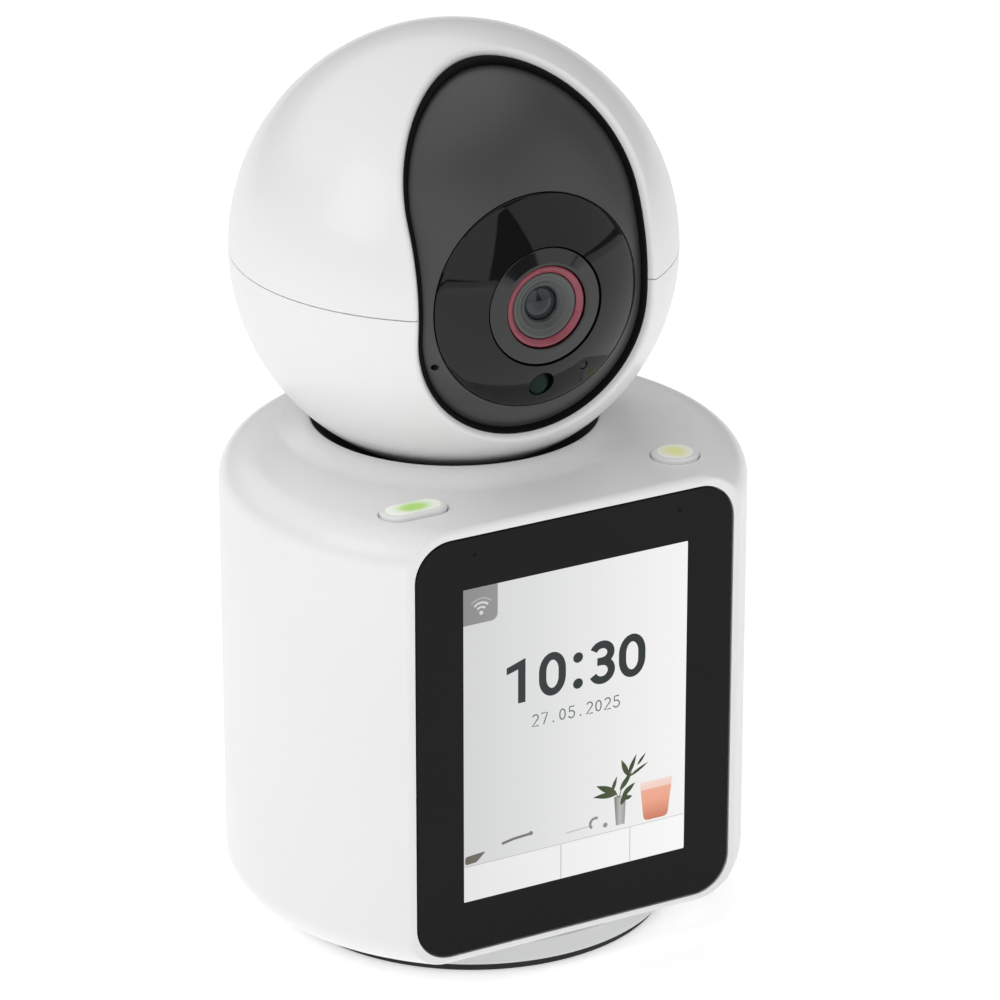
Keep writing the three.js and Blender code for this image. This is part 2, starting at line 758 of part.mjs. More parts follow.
function bodyGroup() {
  const group = new THREE.Group();
  group.add(
    piece('main_housing', mainHousing(), whitePlastic),
    piece('base_cover', baseCover(), greyPlastic),
    piece('foot_ring', footRing(), rubber),
    piece('cover_glass', coverGlass(), blackGloss),
    piece('display_panel', displayPanel(), screenGlass),
    piece('display_frame', displayFrame(), blackSatin),
    piece('main_board', mainBoard(), circuitBoard),
    piece('processor', chip(-6, 50, 14, 14, 1.3), blackSatin),
    piece('memory_chip', chip(12, 50, 11, 9, 1.2), blackSatin),
    piece('wifi_module', chip(0, 68, 16, 9, 2.4), steel),
    piece('port_board', portBoard(), circuitBoard),
    piece('usb_port', usbPort(), steel),
    piece('speaker', speaker(), blackSatin),
    piece('button_board', buttonBoard(), circuitBoard),
    piece('call_button_switch', buttonSwitch(BUTTONS.call_button), blackSatin),
    piece('lamp_button_switch', buttonSwitch(BUTTONS.lamp_button), blackSatin),
    piece('ball_seat', ballSeat(), blackSatin),
    piece('pan_bearing', panBearing(), nylon),
    piece('pan_motor', panMotor(), steel),
    piece('motor_bracket', motorBracket(), nylon),
    piece('call_button', button(BUTTONS.call_button), greenPlastic),
    piece('lamp_button', button(BUTTONS.lamp_button), yellowPlastic),
    piece('pan_pinion', panPinion(), nylon),
  );
  POSTS.forEach(([x, y], i) => {
    group.add(piece(`base_screw_${i + 1}`, at(x, y, 0, screw()), steel));
  });
  return group;
}

function headGroup() {
  const group = new THREE.Group();
  group.position.set(0, AXIS_Y, BALL_Z);
  group.rotation.z = HEAD_YAW;
  const leftPin = pivotPin().mirror([1, 0, 0]);
  group.add(
    piece('upper_head_shell', upperShell(), whitePlastic),
    piece('lower_head_shell', lowerShell(), whitePlastic),
    piece('opening_liner', slotLiner(), blackSatin),
    piece('left_pivot_pin', leftPin, steel),
    piece('tilt_fixed_gear', fixedTiltGear(), nylon),
    piece('camera_ball', cameraBall(), blackSatin),
    piece('lens_window', lensWindow(), blackGloss),
    piece('lens_hood', lensHood(), blackGloss),
    piece('lens_ring', lensRing(), redPlastic),
    piece('lens_barrel', lensBarrel(), blackSatin),
    piece('lens_glass', lensGlass(), opticGlass),
    piece('light_sensor', lightSensor(), opticGlass),
    piece('status_led', statusLed(), screenGlass),
    piece('sensor_board', sensorBoard(), circuitBoard),
    piece('camera_bracket', cameraBracket(), blackSatin),
    piece('ir_lamp_board', irBoard(), circuitBoard),
    piece('tilt_motor', tiltMotor(), steel),
    piece('tilt_pinion', tiltPinion(), nylon),
  );
  return group;
}

function panParts() {
  const group = new THREE.Group();
  group.add(piece('pan_gear', panGear(), nylon), piece('hub_nut', hubNut(), nylon));
  return group;
}

const smartDisplay = new THREE.Group();
smartDisplay.add(bodyGroup(), headGroup(), panParts(), piece('reset_button', resetButton(), greyPlastic));

export default smartDisplay;
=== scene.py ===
import json
import math

import bmesh
import bpy
from mathutils import Matrix, Quaternion, Vector


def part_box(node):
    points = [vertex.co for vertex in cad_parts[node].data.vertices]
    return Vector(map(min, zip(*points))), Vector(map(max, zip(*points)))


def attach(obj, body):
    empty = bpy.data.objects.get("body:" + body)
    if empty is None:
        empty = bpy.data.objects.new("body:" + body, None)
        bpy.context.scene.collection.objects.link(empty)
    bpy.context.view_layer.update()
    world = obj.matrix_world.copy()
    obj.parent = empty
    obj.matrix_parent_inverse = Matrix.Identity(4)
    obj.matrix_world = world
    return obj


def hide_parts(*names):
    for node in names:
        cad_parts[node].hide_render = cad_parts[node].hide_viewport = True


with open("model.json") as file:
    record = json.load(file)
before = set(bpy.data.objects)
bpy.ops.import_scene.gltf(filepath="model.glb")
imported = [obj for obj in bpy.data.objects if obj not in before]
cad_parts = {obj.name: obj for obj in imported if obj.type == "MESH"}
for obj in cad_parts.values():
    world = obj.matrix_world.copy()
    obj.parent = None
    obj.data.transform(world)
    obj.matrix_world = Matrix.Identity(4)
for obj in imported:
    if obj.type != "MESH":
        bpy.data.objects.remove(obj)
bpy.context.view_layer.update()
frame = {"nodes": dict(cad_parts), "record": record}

# A table-top smart display with a pan-and-tilt camera ball. Lengths are in metres, +Z is up and the
# screen faces -Y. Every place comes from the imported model's boxes and joints.

MM = 0.001

# ---------------- driving dimensions

RECORD = frame["record"]
JOINTS = {joint["name"]: joint for joint in RECORD["behaviour"]["joints"]}

BODY_LOW, BODY_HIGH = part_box("main_housing")
BODY_R = (BODY_HIGH.x - BODY_LOW.x) / 2
BODY_Y = BODY_HIGH.y - BODY_R
FRONT = BODY_LOW.y
BOTTOM = BODY_LOW.z
COLLAR_TOP = BODY_HIGH.z
COLLAR_RISE = 2 * MM
ROOF = COLLAR_TOP - COLLAR_RISE
RIM_R = 6 * MM
FRONT_R = 1 * MM
CORNER_R = 1.6 * MM
WALL = 2.2 * MM
COLLAR_R = 24.85 * MM
COLLAR_FOOT = 31 * MM
COLLAR_LIP = 0.5 * MM

BALL_C = Vector(JOINTS["camera_tilt"]["pos_m"])
BALL_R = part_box("upper_head_shell")[1].z - BALL_C.z
TILT_AXIS = Vector(JOINTS["camera_tilt"]["axis"])
SHELL = 1.77 * MM
SEAM = 0.09 * MM
LIP_R = 0.8 * MM
SLOT_HALF = 22 * MM
SLOT_LOW = -3.65 * MM
SLOT_HIGH = 15.3 * MM

EYE_R = 35.9 * MM
EYE_WALL = 1.6 * MM
EYE_SIDE = 26.5 * MM
WINDOW_R = 18.5 * MM
HOOD_R = 10.2 * MM
RED_R = 7.1 * MM
BARREL_R = 5.7 * MM
LENS_R = 2.8 * MM

GLASS_LOW, GLASS_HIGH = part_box("cover_glass")
GLASS_W = GLASS_HIGH.x - GLASS_LOW.x
GLASS_H = GLASS_HIGH.z - GLASS_LOW.z
GLASS_Z = (GLASS_HIGH.z + GLASS_LOW.z) / 2
GLASS_CORNER = 6.5 * MM
GLASS_GAP = 0.22 * MM
RECESS = 1.45 * MM
FRONT_WALL = 3.5 * MM
SCREEN_W = 43.2 * MM
SCREEN_H = 57.6 * MM
SCREEN_Z = GLASS_Z + 0.1 * MM

BASE_LOW, BASE_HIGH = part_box("base_cover")
BASE_R = (BASE_HIGH.x - BASE_LOW.x) / 2
BASE_Y = (BASE_HIGH.y + BASE_LOW.y) / 2
BASE_PLUG_R = 25.5 * MM
BASE_MOUTH_R = 25.8 * MM


def head_matrix():
    """From the ball's own axes, X to the right, -Y forward and Z up, to the row frame."""
    right = -TILT_AXIS.normalized()
    up = Vector((0, 0, 1))
    back = up.cross(right)
    turn = Matrix((right, back, up)).transposed().to_4x4()
    return Matrix.Translation(BALL_C) @ turn


HEAD = head_matrix()

# ---------------- node helpers


class Nodes:
    """A material's node tree, with a short way to add and link nodes."""

    def __init__(self, name):
        self.material = bpy.data.materials.new(name)
        self.material.use_nodes = True
        self.tree = self.material.node_tree
        self.shader = self.tree.nodes["Principled BSDF"]
        self.place = self.tree.nodes.new("ShaderNodeTexCoord").outputs["Object"]

    def add(self, kind, **settings):
        node = self.tree.nodes.new(kind)
        for key, value in settings.items():
            setattr(node, key, value)
        return node

    def link(self, output, socket):
        self.tree.links.new(output, socket)

    def set(self, **values):
        """Sets sockets of the shader to constants."""
        for key, value in values.items():
            self.shader.inputs[key.replace("_", " ")].default_value = value

    def feed(self, **outputs):
        """Links node outputs to sockets of the shader."""
        for key, output in outputs.items():
            self.link(output, self.shader.inputs[key.replace("_", " ")])

    def noise(self, size, detail=3.0, roughness=0.5):
        """Noise with features about size metres across."""
        node = self.add("ShaderNodeTexNoise")
        node.inputs["Scale"].default_value = 1 / size
        node.inputs["Detail"].default_value = detail
        node.inputs["Roughness"].default_value = roughness
        self.link(self.place, node.inputs["Vector"])
        return node.outputs["Fac"]

    def ramp(self, source, stops, mode="LINEAR"):
        node = self.add("ShaderNodeValToRGB")
        node.color_ramp.interpolation = mode
        elements = node.color_ramp.elements
        while len(elements) < len(stops):
            elements.new(0.5)
        for element, (position, colour) in zip(elements, stops):
            element.position = position
            element.color = (*colour, 1)
        self.link(source, node.inputs["Fac"])
        return node.outputs["Color"]

    def range(self, source, low, high, start=0.0, end=1.0):
        node = self.add("ShaderNodeMapRange")
        node.inputs["From Min"].default_value = start
        node.inputs["From Max"].default_value = end
        node.inputs["To Min"].default_value = low
        node.inputs["To Max"].default_value = high
        self.link(source, node.inputs["Value"])
        return node.outputs["Result"]

    def mix(self, factor, first, second):
        """Mixes two colours. A number or a tuple becomes a constant."""
        node = self.add("ShaderNodeMix", data_type="RGBA")
        colours = [socket for socket in node.inputs if socket.type == "RGBA"]
        for socket, value in zip((node.inputs["Factor"], *colours), (factor, first, second)):
            if isinstance(value, float):
                socket.default_value = value
            elif isinstance(value, tuple):
                socket.default_value = (*value, 1)
            else:
                self.link(value, socket)
        return next(output for output in node.outputs if output.type == "RGBA")

    def bump(self, height, distance):
        node = self.add("ShaderNodeBump")
        node.inputs["Strength"].default_value = 0.4
        node.inputs["Distance"].default_value = distance
        self.link(height, node.inputs["Height"])
        return node.outputs["Normal"]

    def axis(self, name):
        node = self.add("ShaderNodeSeparateXYZ")
        self.link(self.place, node.inputs["Vector"])
        return node.outputs[name]

    def distance(self, centre):
        """Distance in metres from a point of the row frame."""
        node = self.add("ShaderNodeVectorMath", operation="DISTANCE")
        self.link(self.place, node.inputs[0])
        node.inputs[1].default_value = centre
        return node.outputs["Value"]


def moulded(name, light, dark, rough, grain=1.1 * MM, grain_depth=0.003 * MM, coat=0.0, gloss=0.5):
    """Moulded plastic: slight colour drift, uneven gloss and a fine eroded grain."""
    n = Nodes(name)
    n.feed(
        Base_Color=n.ramp(n.noise(40 * MM, 0), [(0.1, dark), (0.9, light)], "EASE"),
        Roughness=n.range(n.noise(12 * MM, 1), *rough),
        Normal=n.bump(n.noise(grain, 2), grain_depth),
    )
    n.set(IOR=1.48, Specular_IOR_Level=gloss, Coat_Weight=coat, Coat_Roughness=0.08)
    return n.material


def polished(name, colour, rough, gloss):
    """Polished glass or gloss plastic, with faint smears that only show in the gloss."""
    n = Nodes(name)
    brighter = tuple(c * 1.25 + 0.001 for c in colour)
    n.feed(
        Base_Color=n.ramp(n.noise(30 * MM, 1), [(0.3, colour), (0.7, brighter)]),
        Roughness=n.range(n.noise(5 * MM, 5, 0.6), rough, rough + 0.03, 0.35, 0.75),
    )
    n.set(IOR=1.5, Specular_IOR_Level=gloss)
    return n.material


def metal(name, colour, rough):
    """Bare metal with fine streaks."""
    n = Nodes(name)
    streak = n.noise(0.8 * MM, 4, 0.7)
    darker = tuple(0.8 * c for c in colour)
    n.feed(
        Base_Color=n.ramp(streak, [(0.25, darker), (0.75, colour)]),
        Roughness=n.range(streak, *rough),
    )
    n.set(Metallic=1.0)
    return n.material


def board_green(name):
    """Lacquered circuit board: green patches parted by lighter copper tracks."""
    n = Nodes(name)
    cells = n.add("ShaderNodeTexVoronoi", feature="DISTANCE_TO_EDGE")
    cells.inputs["Scale"].default_value = 1 / (2.4 * MM)
    n.link(n.place, cells.inputs["Vector"])
    stops = [(0.03, (0.05, 0.23, 0.11)), (0.08, (0.012, 0.095, 0.045))]
    n.feed(
        Base_Color=n.ramp(cells.outputs["Distance"], stops),
        Roughness=n.range(n.noise(3 * MM), 0.3, 0.5),
    )
    return n.material


def lamp_plastic(name, centre, half, core, edge, strength):
    """A lit button cap: the lamp behind it is brightest in the middle of the cap."""
    n = Nodes(name)
    place = n.add("ShaderNodeMapping", vector_type="TEXTURE")
    place.inputs["Location"].default_value = centre
    place.inputs["Scale"].default_value = half
    n.link(n.place, place.inputs["Vector"])
    length = n.add("ShaderNodeVectorMath", operation="LENGTH")
    n.link(place.outputs["Vector"], length.inputs[0])
    stops = [(0.0, core), (0.25, core), (0.8, edge), (1.0, edge)]
    tint = n.ramp(length.outputs["Value"], stops, "EASE")
    n.feed(
        Base_Color=tint,
        Emission_Color=tint,
        Roughness=n.range(n.noise(2 * MM), 0.28, 0.4),
        Normal=n.bump(n.noise(0.3 * MM), 0.004 * MM),
    )
    n.set(Emission_Strength=strength, Coat_Weight=0.2)
    return n.material


PIXEL = 0.09 * MM


def screen_paint(name, colours, span, axis="X", glow=0.92):
    """Lit pixels under the cover glass, shaded along one axis between two places."""
    n = Nodes(name)
    share = n.range(n.axis(axis), 0, 1, *span)
    shade = n.ramp(share, [(i / (len(colours) - 1), colour) for i, colour in enumerate(colours)])
    rows = n.add("ShaderNodeTexWave", wave_type="BANDS", bands_direction="Z")
    rows.inputs["Scale"].default_value = 1 / (PIXEL * 20)
    n.link(n.place, rows.inputs["Vector"])
    lined = n.mix(n.range(rows.outputs["Fac"], 0.0, 0.012), shade, (0.0, 0.0, 0.0))
    n.feed(Emission_Color=lined, Base_Color=n.mix(0.95, lined, (0.01, 0.01, 0.01)))
    n.set(Emission_Strength=glow, Roughness=0.12, IOR=1.5, Specular_IOR_Level=0.2)
    return n.material


def red_anodised(name):
    n = Nodes(name)
    tints = [(0.3, (0.20, 0.026, 0.045)), (0.7, (0.26, 0.038, 0.062))]
    n.feed(
        Base_Color=n.ramp(n.noise(2.5 * MM), tints),
        Roughness=n.range(n.noise(1.2 * MM), 0.3, 0.4),
    )
    n.set(Coat_Weight=0.3, Coat_Roughness=0.1)
    return n.material


def lens_material(name, core, rim, centre, radius, gloss, rough=(0.02, 0.05)):
    """Coated glass or a blackened barrel, coloured from a core colour in the middle to a rim colour at the
    radius; on the lens and the barrel the dark middle is painted shade.
    """
    n = Nodes(name)
    share = n.range(n.distance(centre), 0, 1, 0, radius)
    n.feed(
        Base_Color=n.ramp(share, [(0.25, core), (1.0, rim)]),
        Roughness=n.range(n.noise(2 * MM), *rough),
    )
    n.set(IOR=1.5, Specular_IOR_Level=gloss)
    return n.material


def grey(value):
    return (value, value, value)


WHITE = moulded(
    "white_plastic", (0.83, 0.83, 0.828), (0.81, 0.81, 0.808), (0.30, 0.40), 0.5 * MM, 0.001 * MM, 0.2
)
GREY = moulded("grey_plastic", (0.70, 0.705, 0.71), (0.66, 0.665, 0.67), (0.42, 0.52))
RUBBER = moulded("rubber", grey(0.022), grey(0.014), (0.7, 0.85), 0.6 * MM, 0.02 * MM)
SATIN_BLACK = moulded(
    "satin_black", (0.050, 0.050, 0.051), (0.044, 0.044, 0.045), (0.36, 0.42), 0.4 * MM, 0.001 * MM
)
# Near-black plastic of the socket's tongue and the dots on the glass; on the opening band the same black
# is painted shade.
DARK = moulded("dark_plastic_and_painted_shade", grey(0.004), grey(0.002), (0.6, 0.7), gloss=0.1)
GLASS = polished("black_glass", (0.0035, 0.0035, 0.004), 0.035, 0.14)
WINDOW = polished("smoked_window", (0.003, 0.003, 0.0035), 0.04, 0.32)
HOOD = polished("hood_black", (0.003, 0.003, 0.0035), 0.07, 0.6)
NYLON = moulded("nylon", (0.72, 0.70, 0.64), (0.66, 0.64, 0.58), (0.45, 0.6))
STEEL = metal("steel", (0.62, 0.63, 0.65), (0.22, 0.4))
BOARD = board_green("circuit_board")
CHIP = moulded("chip", (0.018, 0.018, 0.02), (0.012, 0.012, 0.013), (0.5, 0.62))
RED = red_anodised("red_anodised")

# ---------------- outlines


def ease(share):
    """A smooth step from 0 to 1."""
    return (1 - math.cos(math.pi * min(max(share, 0), 1))) / 2


def oval(cx, cy, rx, ry, start, end, steps):
    """Points on an ellipse from one angle to another, in degrees, both ends included."""
    angles = [math.radians(start + (end - start) * i / steps) for i in range(steps + 1)]
    return [(cx + rx * math.cos(a), cy + ry * math.sin(a)) for a in angles]


def arc(cx, cy, r, start, end, steps):
    return oval(cx, cy, r, r, start, end, steps)


def circle(r, steps, cx=0.0, cy=0.0):
    return arc(cx, cy, r, 0, 360, steps)[:-1]


def rounded_rect(w, h, r, steps, cx=0.0, cy=0.0):
    x = w / 2 - r
    y = h / 2 - r
    return [
        *arc(cx + x, cy - y, r, -90, 0, steps),
        *arc(cx + x, cy + y, r, 0, 90, steps),
        *arc(cx - x, cy + y, r, 90, 180, steps),
        *arc(cx - x, cy - y, r, 180, 270, steps),
    ]


def softened(profile, radius, steps=4, closed=True):
    """A profile with its corners rounded. The ends of an open profile stay sharp."""
    count = len(profile)
    points = []
    for i, corner in enumerate(profile):
        if not closed and i in (0, count - 1):
            points.append(corner)
            continue
        corner = Vector(corner)
        before = Vector(profile[i - 1]) - corner
        after = Vector(profile[(i + 1) % count]) - corner
        reach = min(radius, before.length * 0.45, after.length * 0.45)
        start = corner + before.normalized() * reach
        end = corner + after.normalized() * reach
        for k in range(steps + 1):
            t = k / steps
            point = start * (1 - t) ** 2 + corner * 2 * t * (1 - t) + end * t**2
            points.append(tuple(point))
    return points


# ---------------- mesh helpers


def skin(bm, rings, closed=False, caps=False):
    """Skins loops of points with quads. A ring of one point is a pole."""
    loops = [[bm.verts.new(point) for point in ring] for ring in rings]
    pairs = list(zip(loops, loops[1:]))
    if closed:
        pairs.append((loops[-1], loops[0]))
    for a, b in pairs:
        count = max(len(a), len(b))
        for i in range(count):
            j = (i + 1) % count
            if len(a) == 1:
                bm.faces.new((a[0], b[j], b[i]))
            elif len(b) == 1:
                bm.faces.new((a[i], a[j], b[0]))
            else:
                bm.faces.new((a[i], a[j], b[j], b[i]))
    if caps:
        bm.faces.new(list(reversed(loops[0])))
        bm.faces.new(loops[-1])
    return bm


TOUCHING = 1e-7  # points nearer than this are one point


def turned(profile, segments, centre_y=0.0):
    """A profile of (radius, height) turned about Z. It closes on itself unless it ends on the axis."""
    rings = []
    for r, height in profile:
        ring = [(0, centre_y)] if r < TOUCHING else circle(r, segments, 0, centre_y)
        rings.append([(x, y, height) for x, y in ring])
    return skin(bmesh.new(), rings, closed=profile[0][0] > TOUCHING)


def prism(outline_at, levels):
    """Skins outline_at(inset) at (inset, height) levels, along +Z, with flat ends."""
    rings = [[(x, y, height) for x, y in outline_at(inset)] for inset, height in levels]
    return skin(bmesh.new(), rings, caps=True)


def straight(outline, low, high):
    """A prism whose outline is the same from one height to another."""
    return prism(lambda _: outline, [(0, low), (0, high)])


def bevelled(low, high, bevel, steps=4, both=False):
    """The (inset, height) levels of a plate whose upper edge, or both edges, are rounded."""
    top = [
        (bevel * (1 - math.cos(a)), high - bevel * (1 - math.sin(a)))
        for a in (math.pi / 2 * i / steps for i in range(steps + 1))
    ]
    if not both:
        return [(0, low), *top]
    under = [(inset, low + high - height) for inset, height in reversed(top)]
    return [*under, *top]


TO_FRONT = Matrix.Rotation(math.radians(90), 4, "X")  # +Z turns to -Y, and +Y to +Z
TO_BACK = Matrix.Rotation(math.radians(180), 4, "Z") @ TO_FRONT


def move(bm, matrix):
    bmesh.ops.transform(bm, matrix=matrix, verts=bm.verts)
    return bm


def merge(*sources):
    """One bmesh holding all of these."""
    whole = bmesh.new()
    for source in sources:
        mesh = bpy.data.meshes.new("part")
        source.to_mesh(mesh)
        whole.from_mesh(mesh)
        bpy.data.meshes.remove(mesh)
        source.free()
    return whole


def place_object(name, bm):
    """Puts a bmesh in the scene as an object of this name."""
    mesh = bpy.data.meshes.new(name)
    bm.to_mesh(mesh)
    bm.free()
    obj = bpy.data.objects.new(name, mesh)
    bpy.context.scene.collection.objects.link(obj)
    return obj


def cut_open(bm, point, normal):
    """Cuts away what lies beyond a plane and closes the cut."""
    geometry = [*bm.verts, *bm.edges, *bm.faces]
    bmesh.ops.bisect_plane(bm, geom=geometry, plane_co=point, plane_no=normal, clear_outer=True)
    open_edges = [edge for edge in bm.edges if edge.is_boundary]
    bmesh.ops.holes_fill(bm, edges=open_edges, sides=0)


def carve(bm, *cutters):
    """Cuts closed shapes out of a closed shape."""
    for shape in (bm, *cutters):
        bmesh.ops.recalc_face_normals(shape, faces=shape.faces)
    blank = place_object("blank", bm)
    tools = [place_object("tool", cutter) for cutter in cutters]
    for tool in tools:
        modifier = blank.modifiers.new("cut", "BOOLEAN")
        modifier.operation = "DIFFERENCE"
        modifier.solver = "EXACT"
        modifier.object = tool
    bpy.context.view_layer.update()
    depsgraph = bpy.context.evaluated_depsgraph_get()
    result = bmesh.new()
    result.from_object(blank, depsgraph)
    for obj in (blank, *tools):
        mesh = obj.data
        bpy.data.objects.remove(obj)
        bpy.data.meshes.remove(mesh)
    return result


def piece(name, bm, material, body, stands_for=(), sharp=32, even=True):
    """Finishes a piece: smooth shading with sharp edges kept, its material and body, and the imported
    parts it stands for hidden.
    """
    bmesh.ops.remove_doubles(bm, verts=bm.verts, dist=TOUCHING)
    bmesh.ops.dissolve_degenerate(bm, edges=bm.edges, dist=TOUCHING)
    bmesh.ops.recalc_face_normals(bm, faces=bm.faces)
    limit = math.radians(sharp)
    for face in bm.faces:
        face.smooth = True
    for edge in bm.edges:
        edge.smooth = edge.calc_face_angle(0) < limit
    obj = place_object(name, bm)
    obj.data.materials.append(material)
    if even:
        modifier = obj.modifiers.new("even_normals", "WEIGHTED_NORMAL")
        modifier.keep_sharp = True
        modifier.weight = 60
    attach(obj, body)
    if stands_for:
        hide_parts(*stands_for)
    return obj


# ---------------- the body


def rim_levels():
    """(depth under the rim, pull-in of the round, pull-in of the front) down the rounded rim."""
    levels = []
    for degrees in (90, 67.5, 45, 22.5):
        a = math.radians(degrees)
        levels.append((FRONT_R * (1 - math.sin(a)), FRONT_R * (1 - math.cos(a))))
    levels.append((FRONT_R, 0.0))
    first = math.degrees(math.acos(1 - FRONT_R / RIM_R))
    steps = 7
    for i in range(1, steps + 1):
        a = math.radians(first + (90 - first) * i / steps)
        levels.append((RIM_R * (1 - math.cos(a)), 0.0))
    pulled = []
    for depth, front in levels:
        round_in = RIM_R - math.sqrt(max(RIM_R**2 - (RIM_R - depth) ** 2, 0))
        pulled.append((depth, round_in, front))
    return pulled


FRONT_STEPS = 22
CORNER_STEPS = 5
ROUND_STEPS = 56


def d_outline(r, front, corner):
    """The body's D-shaped section: a round of radius r cut by a flat front, corners rounded."""
    corner_y = front + corner
    corner_x = math.sqrt((r - corner) ** 2 - (corner_y - BODY_Y) ** 2)
    join = math.degrees(math.atan2(corner_y - BODY_Y, corner_x))
    half = [(corner_x * i / FRONT_STEPS, front) for i in range(FRONT_STEPS)]
    half += arc(corner_x, corner_y, corner, -90, join, CORNER_STEPS)[:-1]
    half += arc(0, BODY_Y, r, join, 90, ROUND_STEPS)
    return half + [(-x, y) for x, y in reversed(half[1:-1])]


def collar_lift(x, y):
    """How far the raised collar lifts the roof at a place."""
    r = math.hypot(x, y - BALL_C.y)
    return COLLAR_RISE * ease((COLLAR_FOOT - r) / (COLLAR_FOOT - COLLAR_R - COLLAR_LIP))


def ray_circle(outline, centre_y, r):
    """A circle's points in the same directions from its centre as the outline's."""
    points = []
    for x, y in outline:
        a = math.atan2(y - centre_y, x)
        points.append((r * math.cos(a), centre_y + r * math.sin(a)))
    return points


def blend_outlines(first, second, share):
    return [
        (x0 + (x1 - x0) * share, y0 + (y1 - y0) * share)
        for (x0, y0), (x1, y1) in zip(first, second)
    ]


def housing_rings():
    """The body's outside from its foot up to the collar, then its inside back down."""
    rim = rim_levels()
    rings = []

    def lay(outline, z, lifted=False):
        rings.append([(x, y, z + (collar_lift(x, y) if lifted else 0)) for x, y in outline])

    edge = d_outline(BODY_R - rim[0][1], FRONT + rim[0][2], CORNER_R)
    mouth = ray_circle(edge, BASE_Y, BASE_MOUTH_R)
    lay(mouth, BOTTOM)
    lay(blend_outlines(mouth, edge, 0.5), BOTTOM)
    for depth, round_in, front_in in rim:
        lay(d_outline(BODY_R - round_in, FRONT + front_in, CORNER_R), BOTTOM + depth)
    steps = 14
    low = BOTTOM + RIM_R
    high = ROOF - RIM_R
    side = d_outline(BODY_R, FRONT, CORNER_R)
    for i in range(1, steps):
        lay(side, low + (high - low) * i / steps)
    for depth, round_in, front_in in reversed(rim):
        outline = d_outline(BODY_R - round_in, FRONT + front_in, CORNER_R)
        lay(outline, ROOF - depth, True)
    lip = ray_circle(edge, BALL_C.y, COLLAR_R + COLLAR_LIP)
    steps = 18
    for i in range(1, steps + 1):
        lay(blend_outlines(edge, lip, i / steps), ROOF, True)
    for r, z in arc(COLLAR_R + COLLAR_LIP, COLLAR_TOP - COLLAR_LIP, COLLAR_LIP, 90, 180, 4)[1:]:
        lay(ray_circle(edge, BALL_C.y, r), z)
    lay(ray_circle(edge, BALL_C.y, COLLAR_R), ROOF - WALL)

    inner_r = BODY_R - WALL
    bend = RIM_R - WALL
    levels = (
        (bend, ROOF - WALL),
        (bend * 0.3, ROOF - WALL - bend * 0.3),
        (0, ROOF - WALL - bend),
        (0, BOTTOM + WALL + bend),
        (bend * 0.3, BOTTOM + WALL + bend * 0.3),
        (bend, BOTTOM + WALL),
    )
    for inset, z in levels:
        lay(d_outline(inner_r - inset, FRONT + FRONT_WALL, MM), z)
    lay(mouth, BOTTOM + WALL)
    return rings


def glass_outline(grow=0.0):
    """The outline of the cover glass as a function of the inset, grown all round."""

    def outline(inset):
        change = grow - inset
        w = GLASS_W + 2 * change
        h = GLASS_H + 2 * change
        return rounded_rect(w, h, GLASS_CORNER + change, 14, 0, GLASS_Z)

    return outline


BUTTON_SIZES = {"call_button": (12 * MM, 6.2 * MM), "lamp_button": (8.1 * MM, 8.1 * MM)}
BUTTON_LIGHTS = {
    "call_button": ("green_light", (0.40, 0.66, 0.14), (0.80, 0.84, 0.76), 0.2),
    "lamp_button": ("yellow_light", (0.78, 0.78, 0.36), (0.84, 0.84, 0.74), 0.15),
}


def button_top(button_name):
    """The middle of a button's top face."""
    low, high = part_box(button_name)
    return Vector(((low.x + high.x) / 2, (low.y + high.y) / 2, high.z))


def pill(name, grow=0.0):
    """A button's outline as a function of the inset, grown all round."""
    w, h = BUTTON_SIZES[name]
    middle = button_top(name)

    def outline(inset):
        change = 2 * (grow - inset)
        return rounded_rect(w + change, h + change, (h + change) / 2, 12, middle.x, middle.y)

    return outline


PORT_LOW, PORT_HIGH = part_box("usb_port")
PORT_Z = (PORT_LOW.z + PORT_HIGH.z) / 2
PORT_W = PORT_HIGH.x - PORT_LOW.x
PORT_H = PORT_HIGH.z - PORT_LOW.z
RESET_LOW, RESET_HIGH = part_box("reset_button")
RESET = Vector(((RESET_LOW.x + RESET_HIGH.x) / 2, 0, (RESET_LOW.z + RESET_HIGH.z) / 2))
RESET_R = (RESET_HIGH.x - RESET_LOW.x) / 2
SPEAKER_LOW, SPEAKER_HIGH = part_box("speaker")
SPEAKER_Z = (SPEAKER_LOW.z + SPEAKER_HIGH.z) / 2


def grille_places():
    """Five staggered rows of holes in a hexagon."""
    pitch = 4 * MM
    for row in range(-2, 3):
        count = 5 - abs(row)
        for i in range(count):
            yield (i - (count - 1) / 2) * pitch, SPEAKER_Z + row * pitch * math.sin(math.pi / 3)


def back_hole(outline, x, z):
    """A hole through the back wall, drawn from behind."""
    hole = straight(outline, BODY_HIGH.y - 12 * MM, BODY_HIGH.y + 2 * MM)
    return move(hole, Matrix.Translation((x, 0, z)) @ TO_BACK)


